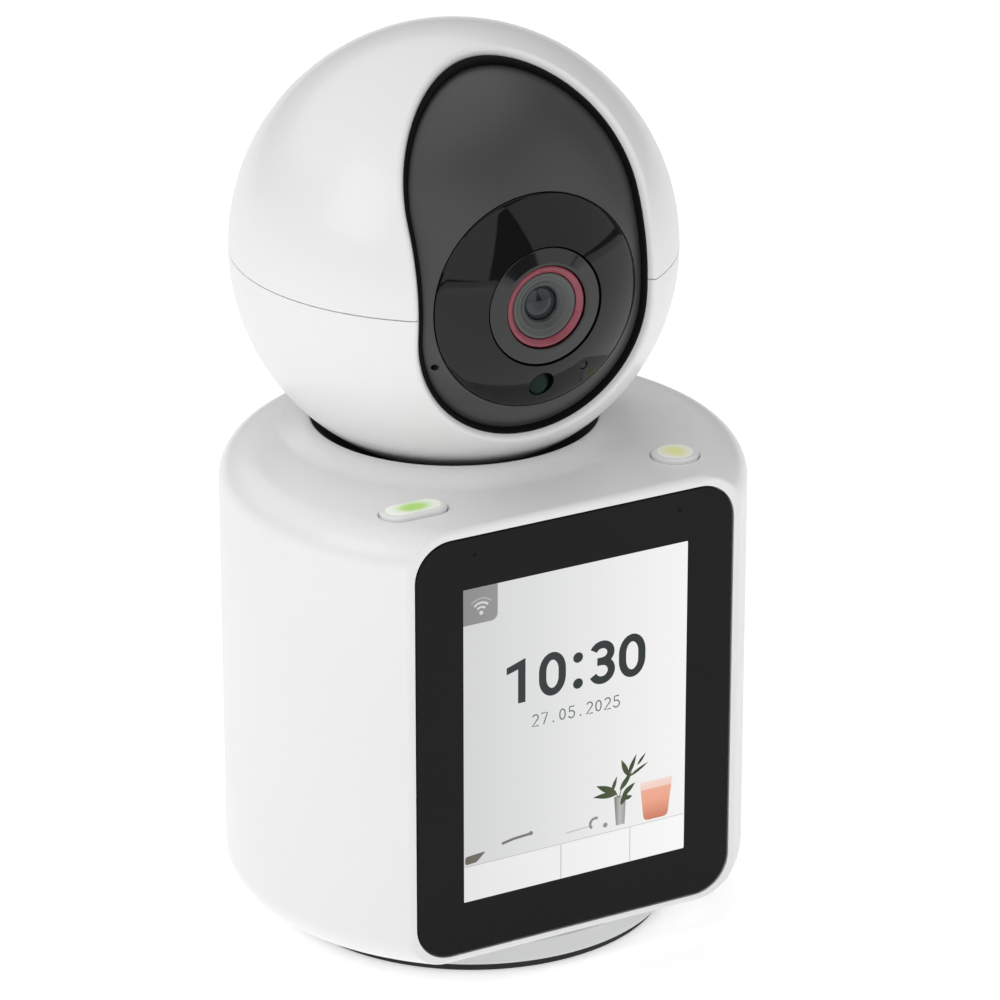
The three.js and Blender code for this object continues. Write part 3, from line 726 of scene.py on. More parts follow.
def main_housing():
    shell = skin(bmesh.new(), housing_rings(), closed=True)
    recess = straight(glass_outline(GLASS_GAP)(0), -FRONT - RECESS, -FRONT + MM)
    display_way = rounded_rect(53.8 * MM, 69.8 * MM, 2 * MM, 6, 0, GLASS_Z)
    window = straight(display_way, -FRONT - 6 * MM, -FRONT - RECESS / 2)
    cutters = [move(recess, TO_FRONT), move(window, TO_FRONT)]
    flare = 0.2 * MM
    levels = [(0, ROOF - 5 * MM), (0, ROOF - flare), (-flare, ROOF), (-flare, ROOF + MM)]
    for name in BUTTON_SIZES:
        cutters.append(prism(pill(name, 0.14 * MM), levels))
    gap = 0.35 * MM
    socket = rounded_rect(PORT_W + 2 * gap, PORT_H + 2 * gap, PORT_H / 2 + gap, 8)
    cutters.append(back_hole(socket, 0, PORT_Z))
    cutters.append(back_hole(circle(RESET_R + 0.25 * MM, 24), RESET.x, RESET.z))
    holes = [back_hole(circle(0.95 * MM, 24), x, z) for x, z in grille_places()]
    body = carve(shell, *cutters, merge(*holes))
    piece("housing_shell", body, WHITE, "body", ["main_housing"], sharp=30)


def base():
    """The plinth with the plug that fills the body's foot, and the rubber ring under it."""
    low = BASE_LOW.z
    profile = [
        (0, low),
        (BASE_R - 0.8 * MM, low),
        (BASE_R, low + 0.8 * MM),
        (BASE_R, BOTTOM - 0.3 * MM),
        (BASE_PLUG_R, BOTTOM - 0.3 * MM),
        (BASE_PLUG_R, BASE_HIGH.z),
        (0, BASE_HIGH.z),
    ]
    cover = turned(softened(profile, 0.5 * MM, closed=False), 120, BASE_Y)
    piece("base_plinth", cover, GREY, "body", ["base_cover"])
    foot_low, foot_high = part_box("foot_ring")
    outer = (foot_high.x - foot_low.x) / 2 - 0.4 * MM
    inner = outer - 6.5 * MM
    ring = [(inner, foot_low.z), (outer, foot_low.z), (outer, low), (inner, low)]
    pad = turned(softened(ring, 0.4 * MM), 120, BASE_Y)
    piece("rubber_foot", pad, RUBBER, "body", ["foot_ring"])


def cover_glass():
    plate = prism(glass_outline(), bevelled(-GLASS_HIGH.y, -GLASS_LOW.y, 0.3 * MM, both=True))
    glass = move(plate, TO_FRONT)
    piece("glass_front", glass, GLASS, "body", ["cover_glass"])


def buttons():
    for name, (w, h) in BUTTON_SIZES.items():
        middle = button_top(name)
        top = middle.z
        cap = prism(pill(name), bevelled(top - 4 * MM, top - 0.08 * MM, 0.45 * MM, 5))
        piece(f"{name}_cap", cap, WHITE, name, [name])
        lit = prism(pill(name, -0.95 * MM), bevelled(top - MM, top, 0.12 * MM))
        slot, core, edge, strength = BUTTON_LIGHTS[name]
        half = (w / 2 - 0.8 * MM, h / 2, 10 * MM)
        glow = lamp_plastic(slot, middle, half, core, edge, strength)
        piece(f"{name}_light", lit, glow, name)


def ball_seat():
    """The dish under the ball, hung from the roof by its rim, with a short hub in the middle."""
    inner = BALL_R + 1.5 * MM
    outer = BALL_R + 3 * MM

    def under(sphere, r):
        return BALL_C.z - math.sqrt(sphere**2 - r**2)

    steps = 10
    hub = 11.1 * MM
    hub_outer = hub + 1.4 * MM
    hub_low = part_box("ball_seat")[0].z + 1.3 * MM
    edge = COLLAR_R - 0.12 * MM
    flange = 29 * MM
    flange_top = ROOF - WALL - 0.3 * MM
    radii = [hub + (edge - hub) * i / steps for i in range(steps + 1)]
    profile = [(r, under(inner, r)) for r in reversed(radii)]
    profile += [(hub, hub_low), (hub_outer, hub_low)]
    profile += [(r, under(outer, r)) for r in (hub_outer, 15 * MM, 19 * MM)]
    profile += [(flange, flange_top - 1.6 * MM), (flange, flange_top), (edge, flange_top)]
    seat = turned(profile, 120, BALL_C.y)
    piece("ball_dish", seat, SATIN_BLACK, "body", ["ball_seat"])


def back_fittings():
    """The socket's steel shell with its tongue, and the reset button."""
    rear = PORT_HIGH.y
    wall = 0.3 * MM

    def tube(inset):
        return rounded_rect(PORT_W - 2 * inset, PORT_H - 2 * inset, PORT_H / 2 - inset, 8)

    def tongue(inset):
        return rounded_rect(6.6 * MM - 2 * inset, 0.7 * MM - 2 * inset, 0.2 * MM - inset, 4)

    to_socket = Matrix.Translation((0, 0, PORT_Z)) @ TO_BACK
    levels = [(0, rear - 7 * MM), (0, rear), (wall, rear), (wall, rear - 6 * MM)]
    piece("usb_shell", move(prism(tube, levels), to_socket), STEEL, "body", ["usb_port"])
    blade = prism(tongue, bevelled(rear - 6 * MM, rear - 0.8 * MM, 0.12 * MM))
    piece("usb_tongue", move(blade, to_socket), DARK, "body")
    end = RESET_HIGH.y
    knob = [(0, end - 7 * MM), (RESET_R, end - 7 * MM), (RESET_R, end - 0.2 * MM), (0, end)]
    button = turned(softened(knob, 0.25 * MM, closed=False), 40)
    move(button, Matrix.Translation((RESET.x, 0, RESET.z)) @ TO_BACK)
    piece("reset_knob", button, GREY, "reset_button", ["reset_button"])


# ---------------- the white ball


def slot_outline(inset=0.0):
    """The stadium opening in front view, in even steps round it."""
    r = SLOT_HALF - inset
    side = 14
    length = SLOT_HIGH - SLOT_LOW
    up = [(r, SLOT_LOW + length * i / side) for i in range(1, side)]
    down = [(-x, SLOT_HIGH + SLOT_LOW - z) for x, z in up]
    return [*arc(0, SLOT_HIGH, r, 0, 180, 56), *down, *arc(0, SLOT_LOW, r, 180, 360, 56), *up]


def on_ball(x, z):
    """Direction from the ball's centre to the surface point seen at x, z from the front."""
    return Vector((x, -math.sqrt(max(BALL_R**2 - x * x - z * z, 0)), z)).normalized()


def toward(direction, goal, angle):
    """A direction turned by an angle towards another."""
    axis = direction.cross(goal).normalized()
    return Matrix.Rotation(angle, 3, axis) @ direction


SLOT_TILT = math.radians(17)
BACK_POLE = Vector((0, math.cos(SLOT_TILT), -math.sin(SLOT_TILT)))


def shell_rings():
    """Rings from the ball's back over its outside, round the lip and back over its inside."""
    rim = [on_ball(x, z) for x, z in slot_outline()]
    spans = [direction.angle(BACK_POLE) for direction in rim]
    lip = LIP_R / BALL_R
    steps = 40
    lip_steps = 5
    shares = [(i / steps) ** 1.15 for i in range(steps)]

    def sweep(radius, start):
        rings = []
        for share in shares:
            ring = []
            for direction, span in zip(rim, spans):
                angle = start + (span - start) * share
                ring.append(toward(direction, BACK_POLE, angle) * radius)
            rings.append(ring)
        return rings

    outside = sweep(BALL_R, lip)
    corner = []
    for k in range(1, lip_steps + 1):
        a = math.pi / 2 * k / lip_steps
        offset = lip * (1 - math.sin(a))
        radius = BALL_R - LIP_R * (1 - math.cos(a))
        corner.append([toward(direction, BACK_POLE, offset) * radius for direction in rim])
    inside = sweep(BALL_R - SHELL, 0.0)
    back = [[BACK_POLE * BALL_R]]
    return [*back, *reversed(outside), *corner, *inside, [BACK_POLE * (BALL_R - SHELL)]]


def half_shell(side):
    """The half of the ball's shell over (1) or under (-1) the seam."""
    bm = skin(bmesh.new(), shell_rings())
    cut_open(bm, (0, 0, side * SEAM), (0, 0, -side))
    return move(bm, HEAD)


def white_ball():
    piece("upper_ball_shell", half_shell(1), WHITE, "head", ["upper_head_shell"])
    piece("lower_ball_shell", half_shell(-1), WHITE, "head", ["lower_head_shell"])
    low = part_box("lower_head_shell")[0].z
    high = BALL_C.z - BALL_R + 0.3 * MM
    inner = 5.5 * MM
    outer = 7.5 * MM
    ring = [(inner, low), (outer, low), (outer, high), (inner, high)]
    hub = turned(softened(ring, 0.3 * MM), 64, BALL_C.y)
    piece("pan_hub", hub, WHITE, "head")


def opening_liner():
    """A near-black band inside the opening, from just under the lip down to the camera ball: its black is
    painted shade for the shadowed gap between the shell and the camera ball.
    """
    outer = [on_ball(x, z) for x, z in slot_outline(0.05 * MM)]
    inner = [on_ball(x, z) for x, z in slot_outline(0.5 * MM)]
    top = BALL_R - LIP_R - 0.5 * MM
    low = EYE_R + 0.25 * MM
    soft = 0.3 * MM
    levels = [(0, low), (0, top - 0.1 * MM), (0.12, top), (0.6, top), (0.85, top - soft * 0.3)]
    levels += [(1, top - soft), (1, low)]
    rings = []
    for share, radius in levels:
        rings.append([a.lerp(b, share).normalized() * radius for a, b in zip(outer, inner)])
    bm = move(skin(bmesh.new(), rings, closed=True), HEAD)
    # the band's black stands for the shade in the gap: painted shade
    piece("opening_shade_band", bm, DARK, "head", ["opening_liner"])


# ---------------- the tilting camera


def cap_points(radius, start, end, steps):
    """(distance from the lens axis, height along it) on a ball, between two such distances."""
    a0 = math.asin(start / radius)
    a1 = math.asin(end / radius)
    angles = [a0 + (a1 - a0) * i / steps for i in range(steps + 1)]
    return [(radius * math.sin(a), radius * math.cos(a)) for a in angles]


def lens_frame(x=0.0, z=0.0):
    """Turns a shape built along +Z to face forward out of the ball, off the lens axis by x, z."""
    return HEAD @ Matrix.Translation((x, 0, z)) @ TO_FRONT


def drilled(bm, holes, steps):
    """Drills (x, z, radius) holes from the front into a shape that faces -Y."""
    cutters = []
    for x, z, r in holes:
        cutter = straight(circle(r, steps), 20 * MM, 40 * MM)
        cutters.append(move(cutter, Matrix.Translation((x, 0, z)) @ TO_FRONT))
    return carve(bm, *cutters)


EYE_BACK = math.radians(106)
MICROPHONE = (-18 * MM, -9.3 * MM, 0.6 * MM)


def camera_ball():
    """A ball open at the front for the window and at the back, with flat cheeks."""
    mouth = math.asin((WINDOW_R + 0.25 * MM) / EYE_R)
    steps = 34
    angles = [mouth + (EYE_BACK - mouth) * i / steps for i in range(steps + 1)]
    inner = EYE_R - EYE_WALL
    profile = [(EYE_R * math.sin(a), EYE_R * math.cos(a)) for a in angles]
    profile += [(inner * math.sin(a), inner * math.cos(a)) for a in reversed(angles)]
    bm = move(turned(profile, 128), TO_FRONT)
    for side in (-1, 1):
        cut_open(bm, (side * EYE_SIDE, 0, 0), (side, 0, 0))
    bm = drilled(bm, [MICROPHONE], 20)
    piece("camera_ball_shell", move(bm, HEAD), SATIN_BLACK, "camera", ["camera_ball"])


# (x, z, radius) seen from the front, from the lens axis
SENSOR = (0.0, -14.2 * MM, 2.2 * MM)
LED = (8 * MM, -12.3 * MM, 0.7 * MM)


def lens_window():
    """The disc round the lens, a slice of the camera ball, with two small holes."""
    outer = EYE_R + 0.05 * MM
    hole = HOOD_R + 0.12 * MM
    front = cap_points(outer, hole + 0.1 * MM, WINDOW_R - 0.15 * MM, 12)
    rear = cap_points(EYE_R - 1.4 * MM, hole, WINDOW_R, 6)
    bevel = math.sqrt(outer**2 - WINDOW_R**2) - 0.15 * MM
    profile = [*front, (WINDOW_R, bevel), *reversed(rear)]
    holes = [(x, z, r + 0.08 * MM) for x, z, r in (SENSOR, LED)]
    bm = drilled(move(turned(profile, 128), TO_FRONT), holes, 40)
    piece("window_disc", move(bm, HEAD), WINDOW, "camera", ["lens_window"])


def lens_piece(name, profile, segments, material, node):
    bm = move(turned(profile, segments), lens_frame())
    piece(name, bm, material, "camera", [node])


def on_axis(height):
    """A point of the lens axis in the row frame."""
    return lens_frame() @ Vector((0, 0, height))


HOOD_BACK = 28 * MM
HOOD_TOP = 34.85 * MM
BARREL_TOP = 34.1 * MM
LENS_TOP = 33.4 * MM
LENS_DOME_R = 4.2 * MM
FIT = 0.1 * MM


def lens_parts():
    hood = [
        (RED_R + 0.15 * MM, HOOD_BACK),
        (HOOD_R, HOOD_BACK),
        (HOOD_R, HOOD_TOP - 0.65 * MM),
        (RED_R + 0.6 * MM, HOOD_TOP),
        (RED_R + 0.15 * MM, HOOD_TOP),
    ]
    lens_piece("hood_ring", softened(hood, 0.25 * MM), 96, HOOD, "lens_hood")
    ring = [
        (BARREL_R + FIT, 31 * MM),
        (RED_R, 31 * MM),
        (RED_R, HOOD_TOP - 0.35 * MM),
        (RED_R - 0.5 * MM, HOOD_TOP - 0.15 * MM),
        (BARREL_R + FIT, BARREL_TOP),
    ]
    lens_piece("red_ring", softened(ring, 0.2 * MM), 96, RED, "lens_ring")
    barrel = [
        (LENS_R + FIT, 19 * MM),
        (BARREL_R, 19 * MM),
        (BARREL_R, BARREL_TOP - 0.1 * MM),
        (BARREL_R - 0.4 * MM, BARREL_TOP),
    ]
    for inset, step in ((1.1 * MM, 0.5 * MM), (2.1 * MM, 1.0 * MM)):
        barrel += [(BARREL_R - inset, BARREL_TOP - step), (BARREL_R - inset - 0.3 * MM, BARREL_TOP - step)]
    barrel += [(LENS_R + FIT, BARREL_TOP - 1.4 * MM)]
    middle = on_axis(BARREL_TOP - 0.6 * MM)
    # near-black in the deep middle by the lens, grey at the rim: painted shade in the barrel's depth
    cone = lens_material(
        "barrel_grey_with_painted_shade", (0.006, 0.008, 0.008), (0.075, 0.085, 0.08), middle, BARREL_R, 0.5, (0.30, 0.38)
    )
    lens_piece("barrel_cone", softened(barrel, 0.12 * MM, 3), 96, cone, "lens_barrel")
    dome = [(r, h - LENS_DOME_R + LENS_TOP) for r, h in cap_points(LENS_DOME_R, 0, LENS_R, 10)]
    dome += [(LENS_R, 28.5 * MM), (0, 28.5 * MM)]
    # near-black in the middle, lighter and bluish at the rim: the dark middle is painted shade of the
    # barrel's inside behind the glass
    glass = lens_material(
        "lens_coating_and_painted_shade", (0.004, 0.005, 0.007), (0.03, 0.04, 0.045), on_axis(LENS_TOP), LENS_R, 0.45
    )
    lens_piece("front_lens", dome, 64, glass, "lens_glass")


def window_lamps():
    """The light sensor's domed cap and the small lamp's cap, just under the window's face."""
    x, z, r = SENSOR
    back = 29 * MM
    surface = math.sqrt(EYE_R**2 - z**2)
    edge = surface + r * z / surface - 0.25 * MM
    rise = 0.5 * MM
    profile = [(0, back), (r, back), (r, edge)]
    profile += [(r * math.cos(a), edge + rise * math.sin(a)) for a in (0.4, 0.8, 1.2)]
    profile += [(0, edge + rise)]
    centre = lens_frame(x, z) @ Vector((0, 0, surface))
    green = lens_material("sensor_green", (0.004, 0.020, 0.014), (0.002, 0.010, 0.008), centre, r, 0.12)
    dome = move(turned(profile, 48), lens_frame(x, z))
    piece("sensor_dome", dome, green, "camera", ["light_sensor"])
    x, z, r = LED
    surface = math.sqrt(EYE_R**2 - x**2 - z**2)
    profile = [(0, back), (r, back), (r, surface - 0.35 * MM), (0, surface - 0.3 * MM)]
    lamp = move(turned(softened(profile, 0.1 * MM, closed=False), 32), lens_frame(x, z))
    piece("status_lamp", lamp, CHIP, "camera", ["status_led"])


# ---------------- the screen's picture

LAYER = 0.012 * MM
SCREEN_LEFT = -SCREEN_W / 2
SCREEN_LOW = SCREEN_Z - SCREEN_H / 2
SCREEN_SPAN = (SCREEN_LEFT, -SCREEN_LEFT)
SHELF_Z = SCREEN_LOW + 6.6 * MM


def sheet_of(outline, layer):
    """A thin closed sheet on the glass; later layers lie in front of earlier ones."""
    near = -FRONT + LAYER * (layer - 0.9)
    return straight(outline, near, near + LAYER)


def ribbon(path, width, layer, closed=False):
    """A flat stroke of even width along a path of (x, z) points."""
    count = len(path)
    near = -FRONT + LAYER * (layer - 0.9)
    far = near + LAYER
    sections = []
    for i, point in enumerate(path):
        before = path[i - 1] if closed or i else point
        after = path[(i + 1) % count] if closed or i < count - 1 else point
        run = (Vector(after) - Vector(before)).normalized()
        side = Vector((-run.y, run.x)) * width / 2
        left = Vector(point) + side
        right = Vector(point) - side
        sections.append([(*left, near), (*right, near), (*right, far), (*left, far)])
    return skin(bmesh.new(), sections, closed=closed, caps=not closed)


def disc(cx, cz, r, layer, steps=28):
    return sheet_of(circle(r, steps, cx, cz), layer)


def show(name, material, *shapes):
    """Makes one piece of the picture from flat shapes."""
    piece(name, move(merge(*shapes), TO_FRONT), material, "body", even=False)


def zero(cx, cz, w, h, stroke, layer):
    """A nought: two straight sides joined by half ellipses."""
    rx = (w - stroke) / 2
    side = h * 0.08
    rz = (h - stroke) / 2 - side
    path = oval(cx, cz + side, rx, rz, 0, 180, 16) + oval(cx, cz - side, rx, rz, 180, 360, 16)
    return [ribbon(path, stroke, layer, closed=True)]


def one(cx, cz, h, stroke, layer):
    """A stem with a slanted flag at its upper left."""
    right = cx + 0.9 * MM + stroke / 2
    left = right - stroke
    tip = cx - 2 * MM
    low = cz - h / 2
    top = cz + h / 2
    stem = [(left, low), (right, low), (right, top), (right - 0.25 * MM, top)]
    flag = [(tip, top - 1.1 * MM), (tip, top - 2.35 * MM), (left, top - 1.75 * MM)]
    return [sheet_of([*stem, *flag], layer)]


def three(cx, cz, w, h, stroke, layer):
    """Two open bowls that meet at a short bar."""
    upper = (h - stroke) * 0.235
    lower = (h - stroke) * 0.265
    rx = (w - stroke) / 2
    upper_z = cz + h / 2 - stroke / 2 - upper
    lower_z = cz - h / 2 + stroke / 2 + lower
    upper_bowl = oval(cx, upper_z, rx * 0.94, upper, 158, -80, 18)
    bar = (upper_bowl[-1][1] + lower_z + lower) / 2
    upper_bowl[-1] = (cx, bar)
    lower_bowl = [(cx, bar), *oval(cx, lower_z, rx, lower, 80, -158, 18)[1:]]
    middle = [(cx - w * 0.18, bar), (cx + 0.1 * MM, bar)]
    return [
        ribbon(upper_bowl, stroke, layer),
        ribbon(lower_bowl, stroke, layer + 0.2),
        ribbon(middle, stroke, layer + 0.4),
    ]


def clock():
    """The time, 10:30, in broad strokes."""
    ink = screen_paint("clock_ink", [(0.022, 0.03, 0.032), (0.014, 0.02, 0.022)], (-0.02, 0.02))
    z = SCREEN_LOW + 38.8 * MM
    h = 8 * MM
    stroke = 1.42 * MM
    shapes = one(-11.4 * MM, z, h, stroke, 3)
    shapes += zero(-4.6 * MM, z, 5.2 * MM, h, stroke, 3)
    shapes += [disc(0.35 * MM, z + rise, 0.95 * MM, 3) for rise in (1.9 * MM, -2.9 * MM)]
    shapes += three(5 * MM, z, 5.1 * MM, h, stroke, 3)
    shapes += zero(10.9 * MM, z, 5.2 * MM, h, stroke, 3)
    show("clock_digits", ink, *shapes)


def small_numerals():
    """The date in plain numerals, drawn as fine strokes."""
    ink = screen_paint("date_ink", [(0.22, 0.24, 0.25), (0.18, 0.20, 0.21)], (-0.01, 0.01), glow=0.6)
    h = 2.1 * MM
    stroke = 0.24 * MM
    middle = SCREEN_LOW + 30.9 * MM
    low = middle - h / 2
    top = middle + h / 2
    half = 0.6 * MM
    advance = 1.75 * MM

    def seven(cx):
        return [ribbon([(cx - half, top), (cx + half, top), (cx - 0.15 * MM, low)], stroke, 3)]

    def two(cx):
        bowl = arc(cx, top - 0.55 * MM, 0.55 * MM, 160, -30, 10)
        return [ribbon([*bowl, (cx - half, low), (cx + 0.65 * MM, low)], stroke, 3)]

    def five(cx):
        bowl = oval(cx, low + 0.65 * MM, half, 0.65 * MM, 130, -160, 10)
        return [ribbon([(cx + 0.5 * MM, top), (cx - 0.4 * MM, top), *bowl], stroke, 3)]

    def nought(cx):
        return zero(cx, middle, 1.25 * MM, h, stroke, 3)

    def stop(cx):
        return [disc(cx, low + 0.1 * MM, 0.17 * MM, 3, 12)]

    row = [two, seven, stop, nought, five, stop, two, nought, two, five]
    shapes = []
    for i, glyph in enumerate(row):
        shapes += glyph(advance * (i - (len(row) - 1) / 2))
    show("date_numerals", ink, *shapes)


def signal_tab():
    """The grey tab in the corner, with its radiating arcs."""
    side = 6.5 * MM
    r = 1.2 * MM
    x = SCREEN_LEFT
    top = SCREEN_LOW + SCREEN_H
    span = (x, x + side)
    corner = arc(x + side - r, top - side + r, r, -90, 0, 8)
    tab = screen_paint("tab_grey", [grey(0.33), grey(0.38)], span, glow=0.7)
    show("signal_tab", tab, sheet_of([(x, top), (x, top - side), *corner, (x + side, top)], 2))
    cx = x + side * 0.52
    cz = top - side * 0.72
    pale = screen_paint("tab_mark", [grey(0.72), grey(0.78)], span, glow=0.8)
    marks = [ribbon(arc(cx, cz, reach, 45, 135, 12), 0.38 * MM, 3) for reach in (1.05 * MM, 1.85 * MM)]
    show("signal_arcs", pale, disc(cx, cz, 0.38 * MM, 3, 16), *marks)
    faint = screen_paint("tab_faint", [grey(0.46), grey(0.5)], span, glow=0.8)
    show("signal_outer_arc", faint, ribbon(arc(cx, cz, 2.65 * MM, 45, 135, 12), 0.3 * MM, 3))


def wallpaper():
    """A pale wall over a white cabinet."""
    wall = screen_paint(
        "wall_light",
        [(0.66, 0.665, 0.67), (0.74, 0.745, 0.75), grey(0.84), (0.92, 0.92, 0.915)],
        SCREEN_SPAN,
    )
    area = rounded_rect(SCREEN_W, SCREEN_H, 0.15 * MM, 2, 0, SCREEN_Z)
    show("picture_wall", wall, sheet_of(area, 1))
    left = SCREEN_LEFT + 0.05 * MM
    low = SCREEN_LOW + 0.05 * MM
    cabinet = [(left, low), (-left, low), (-left, SHELF_Z), (left, SHELF_Z)]
    front = screen_paint("cabinet_white", [(0.80, 0.80, 0.805), grey(0.88), grey(0.95)], SCREEN_SPAN)
    show("picture_cabinet", front, sheet_of(cabinet, 2))
    line = screen_paint("joint_grey", [grey(0.5), grey(0.62)], SCREEN_SPAN)
    edge = SCREEN_LEFT + 0.1 * MM
    joints = [ribbon([(edge, SHELF_Z), (-edge, SHELF_Z)], 0.14 * MM, 3)]
    for x in (-2.8 * MM, 10.8 * MM):
        joints.append(ribbon([(x, SCREEN_LOW + 0.1 * MM), (x, SHELF_Z - 0.1 * MM)], 0.2 * MM, 3))
    show("picture_joints", line, *joints)


def leaf(x, z, length, width, degrees, layer):
    """A pointed leaf from its stalk end."""
    steps = 10
    shares = [i / steps for i in range(steps + 1)]
    outline = [(length * t, width / 2 * math.sin(math.pi * t**0.8)) for t in shares]
    outline += [(along, -off) for along, off in reversed(outline[1:-1])]
    turn = Matrix.Rotation(math.radians(degrees), 2)
    return sheet_of([Vector((x, z)) + turn @ Vector(point) for point in outline], layer)


def at(across, up):
    """A point of the picture, in millimetres across from the middle and up from the shelf."""
    return (across * MM, SHELF_Z + up * MM)


# each leaf's stalk end (across, up), its length and width in millimetres, and its direction
LEAVES = (
    (8.1, 7.1, 4.6, 1.25, 152),
    (8.3, 6.9, 4.9, 1.1, 176),
    (7.1, 7.4, 3.0, 0.7, 70),
    (8.7, 7.4, 3.9, 1.0, 52),
    (10.3, 9.8, 3.6, 1.0, 112),
    (10.3, 9.9, 4.0, 0.8, 66),
    (10.6, 9.6, 4.2, 0.55, 28),
    (12.1, 11.4, 2.6, 0.5, 50),
    (9.2, 6.3, 3.2, 1.0, 38),
    (8.9, 4.6, 3.0, 1.0, 62),
    (9.6, 5.6, 1.6, 0.8, 10),
)


def vase():
    """A grey vase with leaves."""
    clay = screen_paint("vase_grey", [grey(0.16), (0.5, 0.5, 0.49), grey(0.3)], (7.6 * MM, 9.9 * MM))
    outline = [at(8, 0.9), at(9.7, 0.9), at(9.95, 6.4), at(7.6, 6.4)]
    show("picture_vase", clay, sheet_of(outline, 4))
    greens = [(0.02, 0.04, 0.01), (0.06, 0.09, 0.03), (0.012, 0.03, 0.01)]
    shapes = []
    for i, (across, up, length, width, turn) in enumerate(LEAVES):
        shapes.append(leaf(*at(across, up), length * MM, width * MM, turn, 5 + 0.12 * i))
    shapes.append(ribbon([at(8.6, 6.1), at(9.3, 8.6), at(10.8, 10.8)], 0.16 * MM, 4.6))
    shapes.append(ribbon([at(8.5, 6.1), at(7.6, 7.4)], 0.16 * MM, 4.7))
    show("picture_leaves", screen_paint("leaf_green", greens, (2 * MM, 14 * MM)), *shapes)


def cup():
    """A glass cup with a coral drink."""
    low = at(0, 0.5)[1]
    brim = at(0, 6.3)[1]
    top = at(0, 7.8)[1]
    corals = [(0.62, 0.20, 0.12), (0.86, 0.38, 0.26), (0.88, 0.45, 0.33)]
    body = softened([at(13.5, 0.5), at(18.2, 0.5), at(19.1, 7.8), at(12.7, 7.8)], 0.9 * MM)
    show("picture_cup", screen_paint("cup_coral", corals, (low, top), "Z"), sheet_of(body, 4))
    blushes = [(0.88, 0.62, 0.54), (0.92, 0.72, 0.66)]
    rim = softened([at(12.9, 6.3), at(18.9, 6.3), at(19.1, 7.8), at(12.7, 7.8)], 0.3 * MM)
    show("picture_cup_rim", screen_paint("cup_rim", blushes, (brim, top), "Z"), sheet_of(rim, 5))


def trinkets():
    """A bowl cut off by the picture's edge, a spoon, two beads and a tray."""
    left = SCREEN_LEFT / MM
    bowl = [at(left + 0.2, 0.4), at(left + 2.4, 0.5), at(left + 4.2, 2.2), at(left + 0.2, 1.9)]
    shapes = [
        sheet_of(softened(bowl, 0.5 * MM), 4),
        ribbon([at(-14.3, 2.8), at(-12, 3.2), at(-8.6, 3.4)], 0.5 * MM, 4),
        disc(*at(-8.7, 3.45), 0.4 * MM, 4.3, 16),
        ribbon(arc(*at(3.9, 2.3), MM, 60, 230, 10), 0.5 * MM, 4),
        disc(*at(5.9, 1.5), 0.45 * MM, 4, 16),
    ]
    greys = [(0.13, 0.12, 0.09), grey(0.2), grey(0.28)]
    show("picture_trinkets", screen_paint("trinket_grey", greys, (-0.022, 0.007)), *shapes)
    pale = screen_paint("tray_grey", [grey(0.55), grey(0.68)], (-0.002, 0.007))
    show("picture_tray", pale, ribbon([at(-1.8, 1.8), at(3, 2)], 0.3 * MM, 3.6))


def glass_microphones():
    """Two pin-sized microphone dots in the black border over the picture."""
    height = SCREEN_LOW + 63.6 * MM
    dots = [disc(x, height, 0.35 * MM, 1, 20) for x in (-19.4 * MM, 19.9 * MM)]
    bm = move(merge(*dots), TO_FRONT)
    piece("glass_microphones", bm, DARK, "body", even=False)


# ---------------- inner pieces

SLOT_MATERIALS = {
    "white_plastic": WHITE,
    "grey_plastic": GREY,
    "rubber": RUBBER,
    "black_glass": GLASS,
    "screen": CHIP,
    "black_plastic": SATIN_BLACK,
    "chip": CHIP,
    "circuit_board": BOARD,
    "steel": STEEL,
    "nylon": NYLON,
    "green_light": WHITE,
    "yellow_light": WHITE,
    "red_plastic": RED,
    "optic_glass": GLASS,
    "led": CHIP,
}


def paint_inner_pieces():
    """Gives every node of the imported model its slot's material."""
    slots = {entry["node"]: entry["material_slot"] for entry in RECORD["subparts"]}
    for name, obj in frame["nodes"].items():
        material = SLOT_MATERIALS[slots[name]]
        if obj.material_slots:
            for material_slot in obj.material_slots:
                material_slot.material = material
        else:
            obj.data.materials.append(material)


# ---------------- stage


def add_camera():
    """The main view: from the left and above, with a long lens."""
    data = bpy.data.cameras.new("camera")
    data.lens = 196.67
    data.sensor_width = 36
    camera = bpy.data.objects.new("camera", data)
    camera.location = (-0.41792, -0.76518, 0.43649)
    camera.rotation_euler = (math.radians(90 - 22.689), 0, math.radians(-29.092))
    bpy.context.scene.collection.objects.link(camera)
    bpy.context.scene.camera = camera


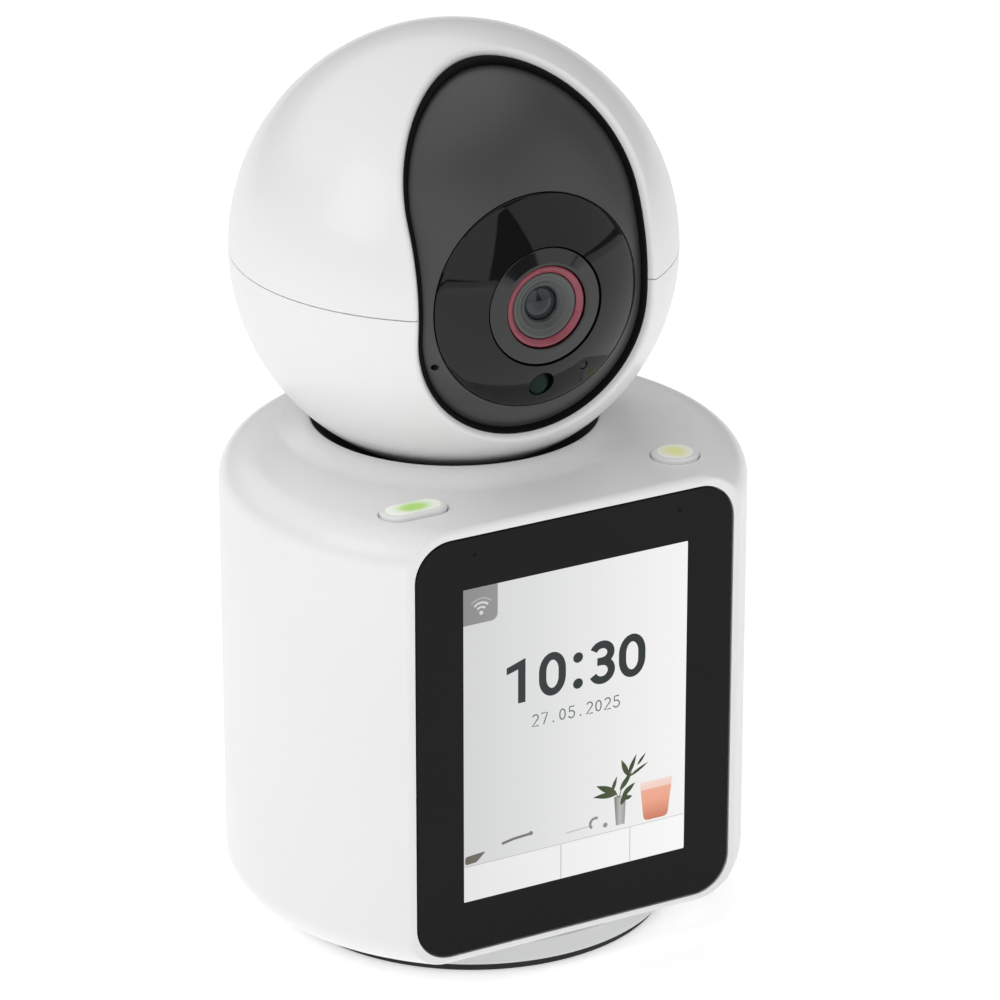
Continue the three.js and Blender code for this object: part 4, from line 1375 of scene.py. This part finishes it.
def add_floor():
    bm = bmesh.new()
    bmesh.ops.create_grid(bm, x_segments=8, y_segments=8, size=6)
    floor = place_object("floor", bm)
    n = Nodes("floor_paper")
    n.feed(
        Base_Color=n.ramp(n.noise(0.4, 2), [(0.3, grey(0.90)), (0.7, grey(0.92))]),
        Roughness=n.range(n.noise(0.05), 0.8, 0.9),
    )
    n.set(Specular_IOR_Level=0.1, Emission_Color=(1, 1, 1, 1), Emission_Strength=0.4)
    floor.data.materials.append(n.material)


def add_lamp(data, azimuth, elevation, distance=0.0, roll=0):
    """Places a lamp that faces the object from a direction, all angles in degrees."""
    a, e = math.radians(azimuth), math.radians(elevation)
    away = Vector((math.sin(a) * math.cos(e), -math.cos(a) * math.cos(e), math.sin(e)))
    lamp = bpy.data.objects.new(data.name, data)
    lamp.location = Vector((0, 0, 0.08)) + away * distance
    spin = Quaternion((0, 0, 1), math.radians(roll))
    lamp.rotation_euler = ((-away).to_track_quat("-Z", "Y") @ spin).to_euler()
    bpy.context.scene.collection.objects.link(lamp)


def soft_box(name, size, power):
    data = bpy.data.lights.new(name, "AREA")
    data.shape = "RECTANGLE"
    data.size, data.size_y = size
    data.energy = power
    return data


def add_light():
    """Two large soft boxes in front, a small one at the left, and an even light from above."""
    world = bpy.data.worlds.new("world")
    world.use_nodes = True
    background = world.node_tree.nodes["Background"]
    background.inputs["Color"].default_value = (1, 1, 1, 1)
    background.inputs["Strength"].default_value = 0.14
    bpy.context.scene.world = world
    add_lamp(soft_box("left", (0.3, 0.3), 0.6), -84, 34, 0.55)
    add_lamp(soft_box("left_front", (1.3, 1.4), 5.2), -30, 27, 1.5, -5)
    add_lamp(soft_box("right_front", (1.7, 1.4), 5.6), 44, 27, 1.5, 5)
    sky = bpy.data.lights.new("sky", "SUN")
    sky.energy = 1.5
    sky.angle = math.radians(90)
    add_lamp(sky, -160, 64)
    bpy.context.scene.view_settings.view_transform = "Standard"
    bpy.context.scene.view_settings.look = "None"


add_camera()
main_housing()
base()
cover_glass()
buttons()
ball_seat()
back_fittings()
white_ball()
opening_liner()
camera_ball()
lens_window()
lens_parts()
window_lamps()
wallpaper()
clock()
small_numerals()
signal_tab()
vase()
cup()
trinkets()
glass_microphones()
paint_inner_pieces()
add_floor()
add_light()
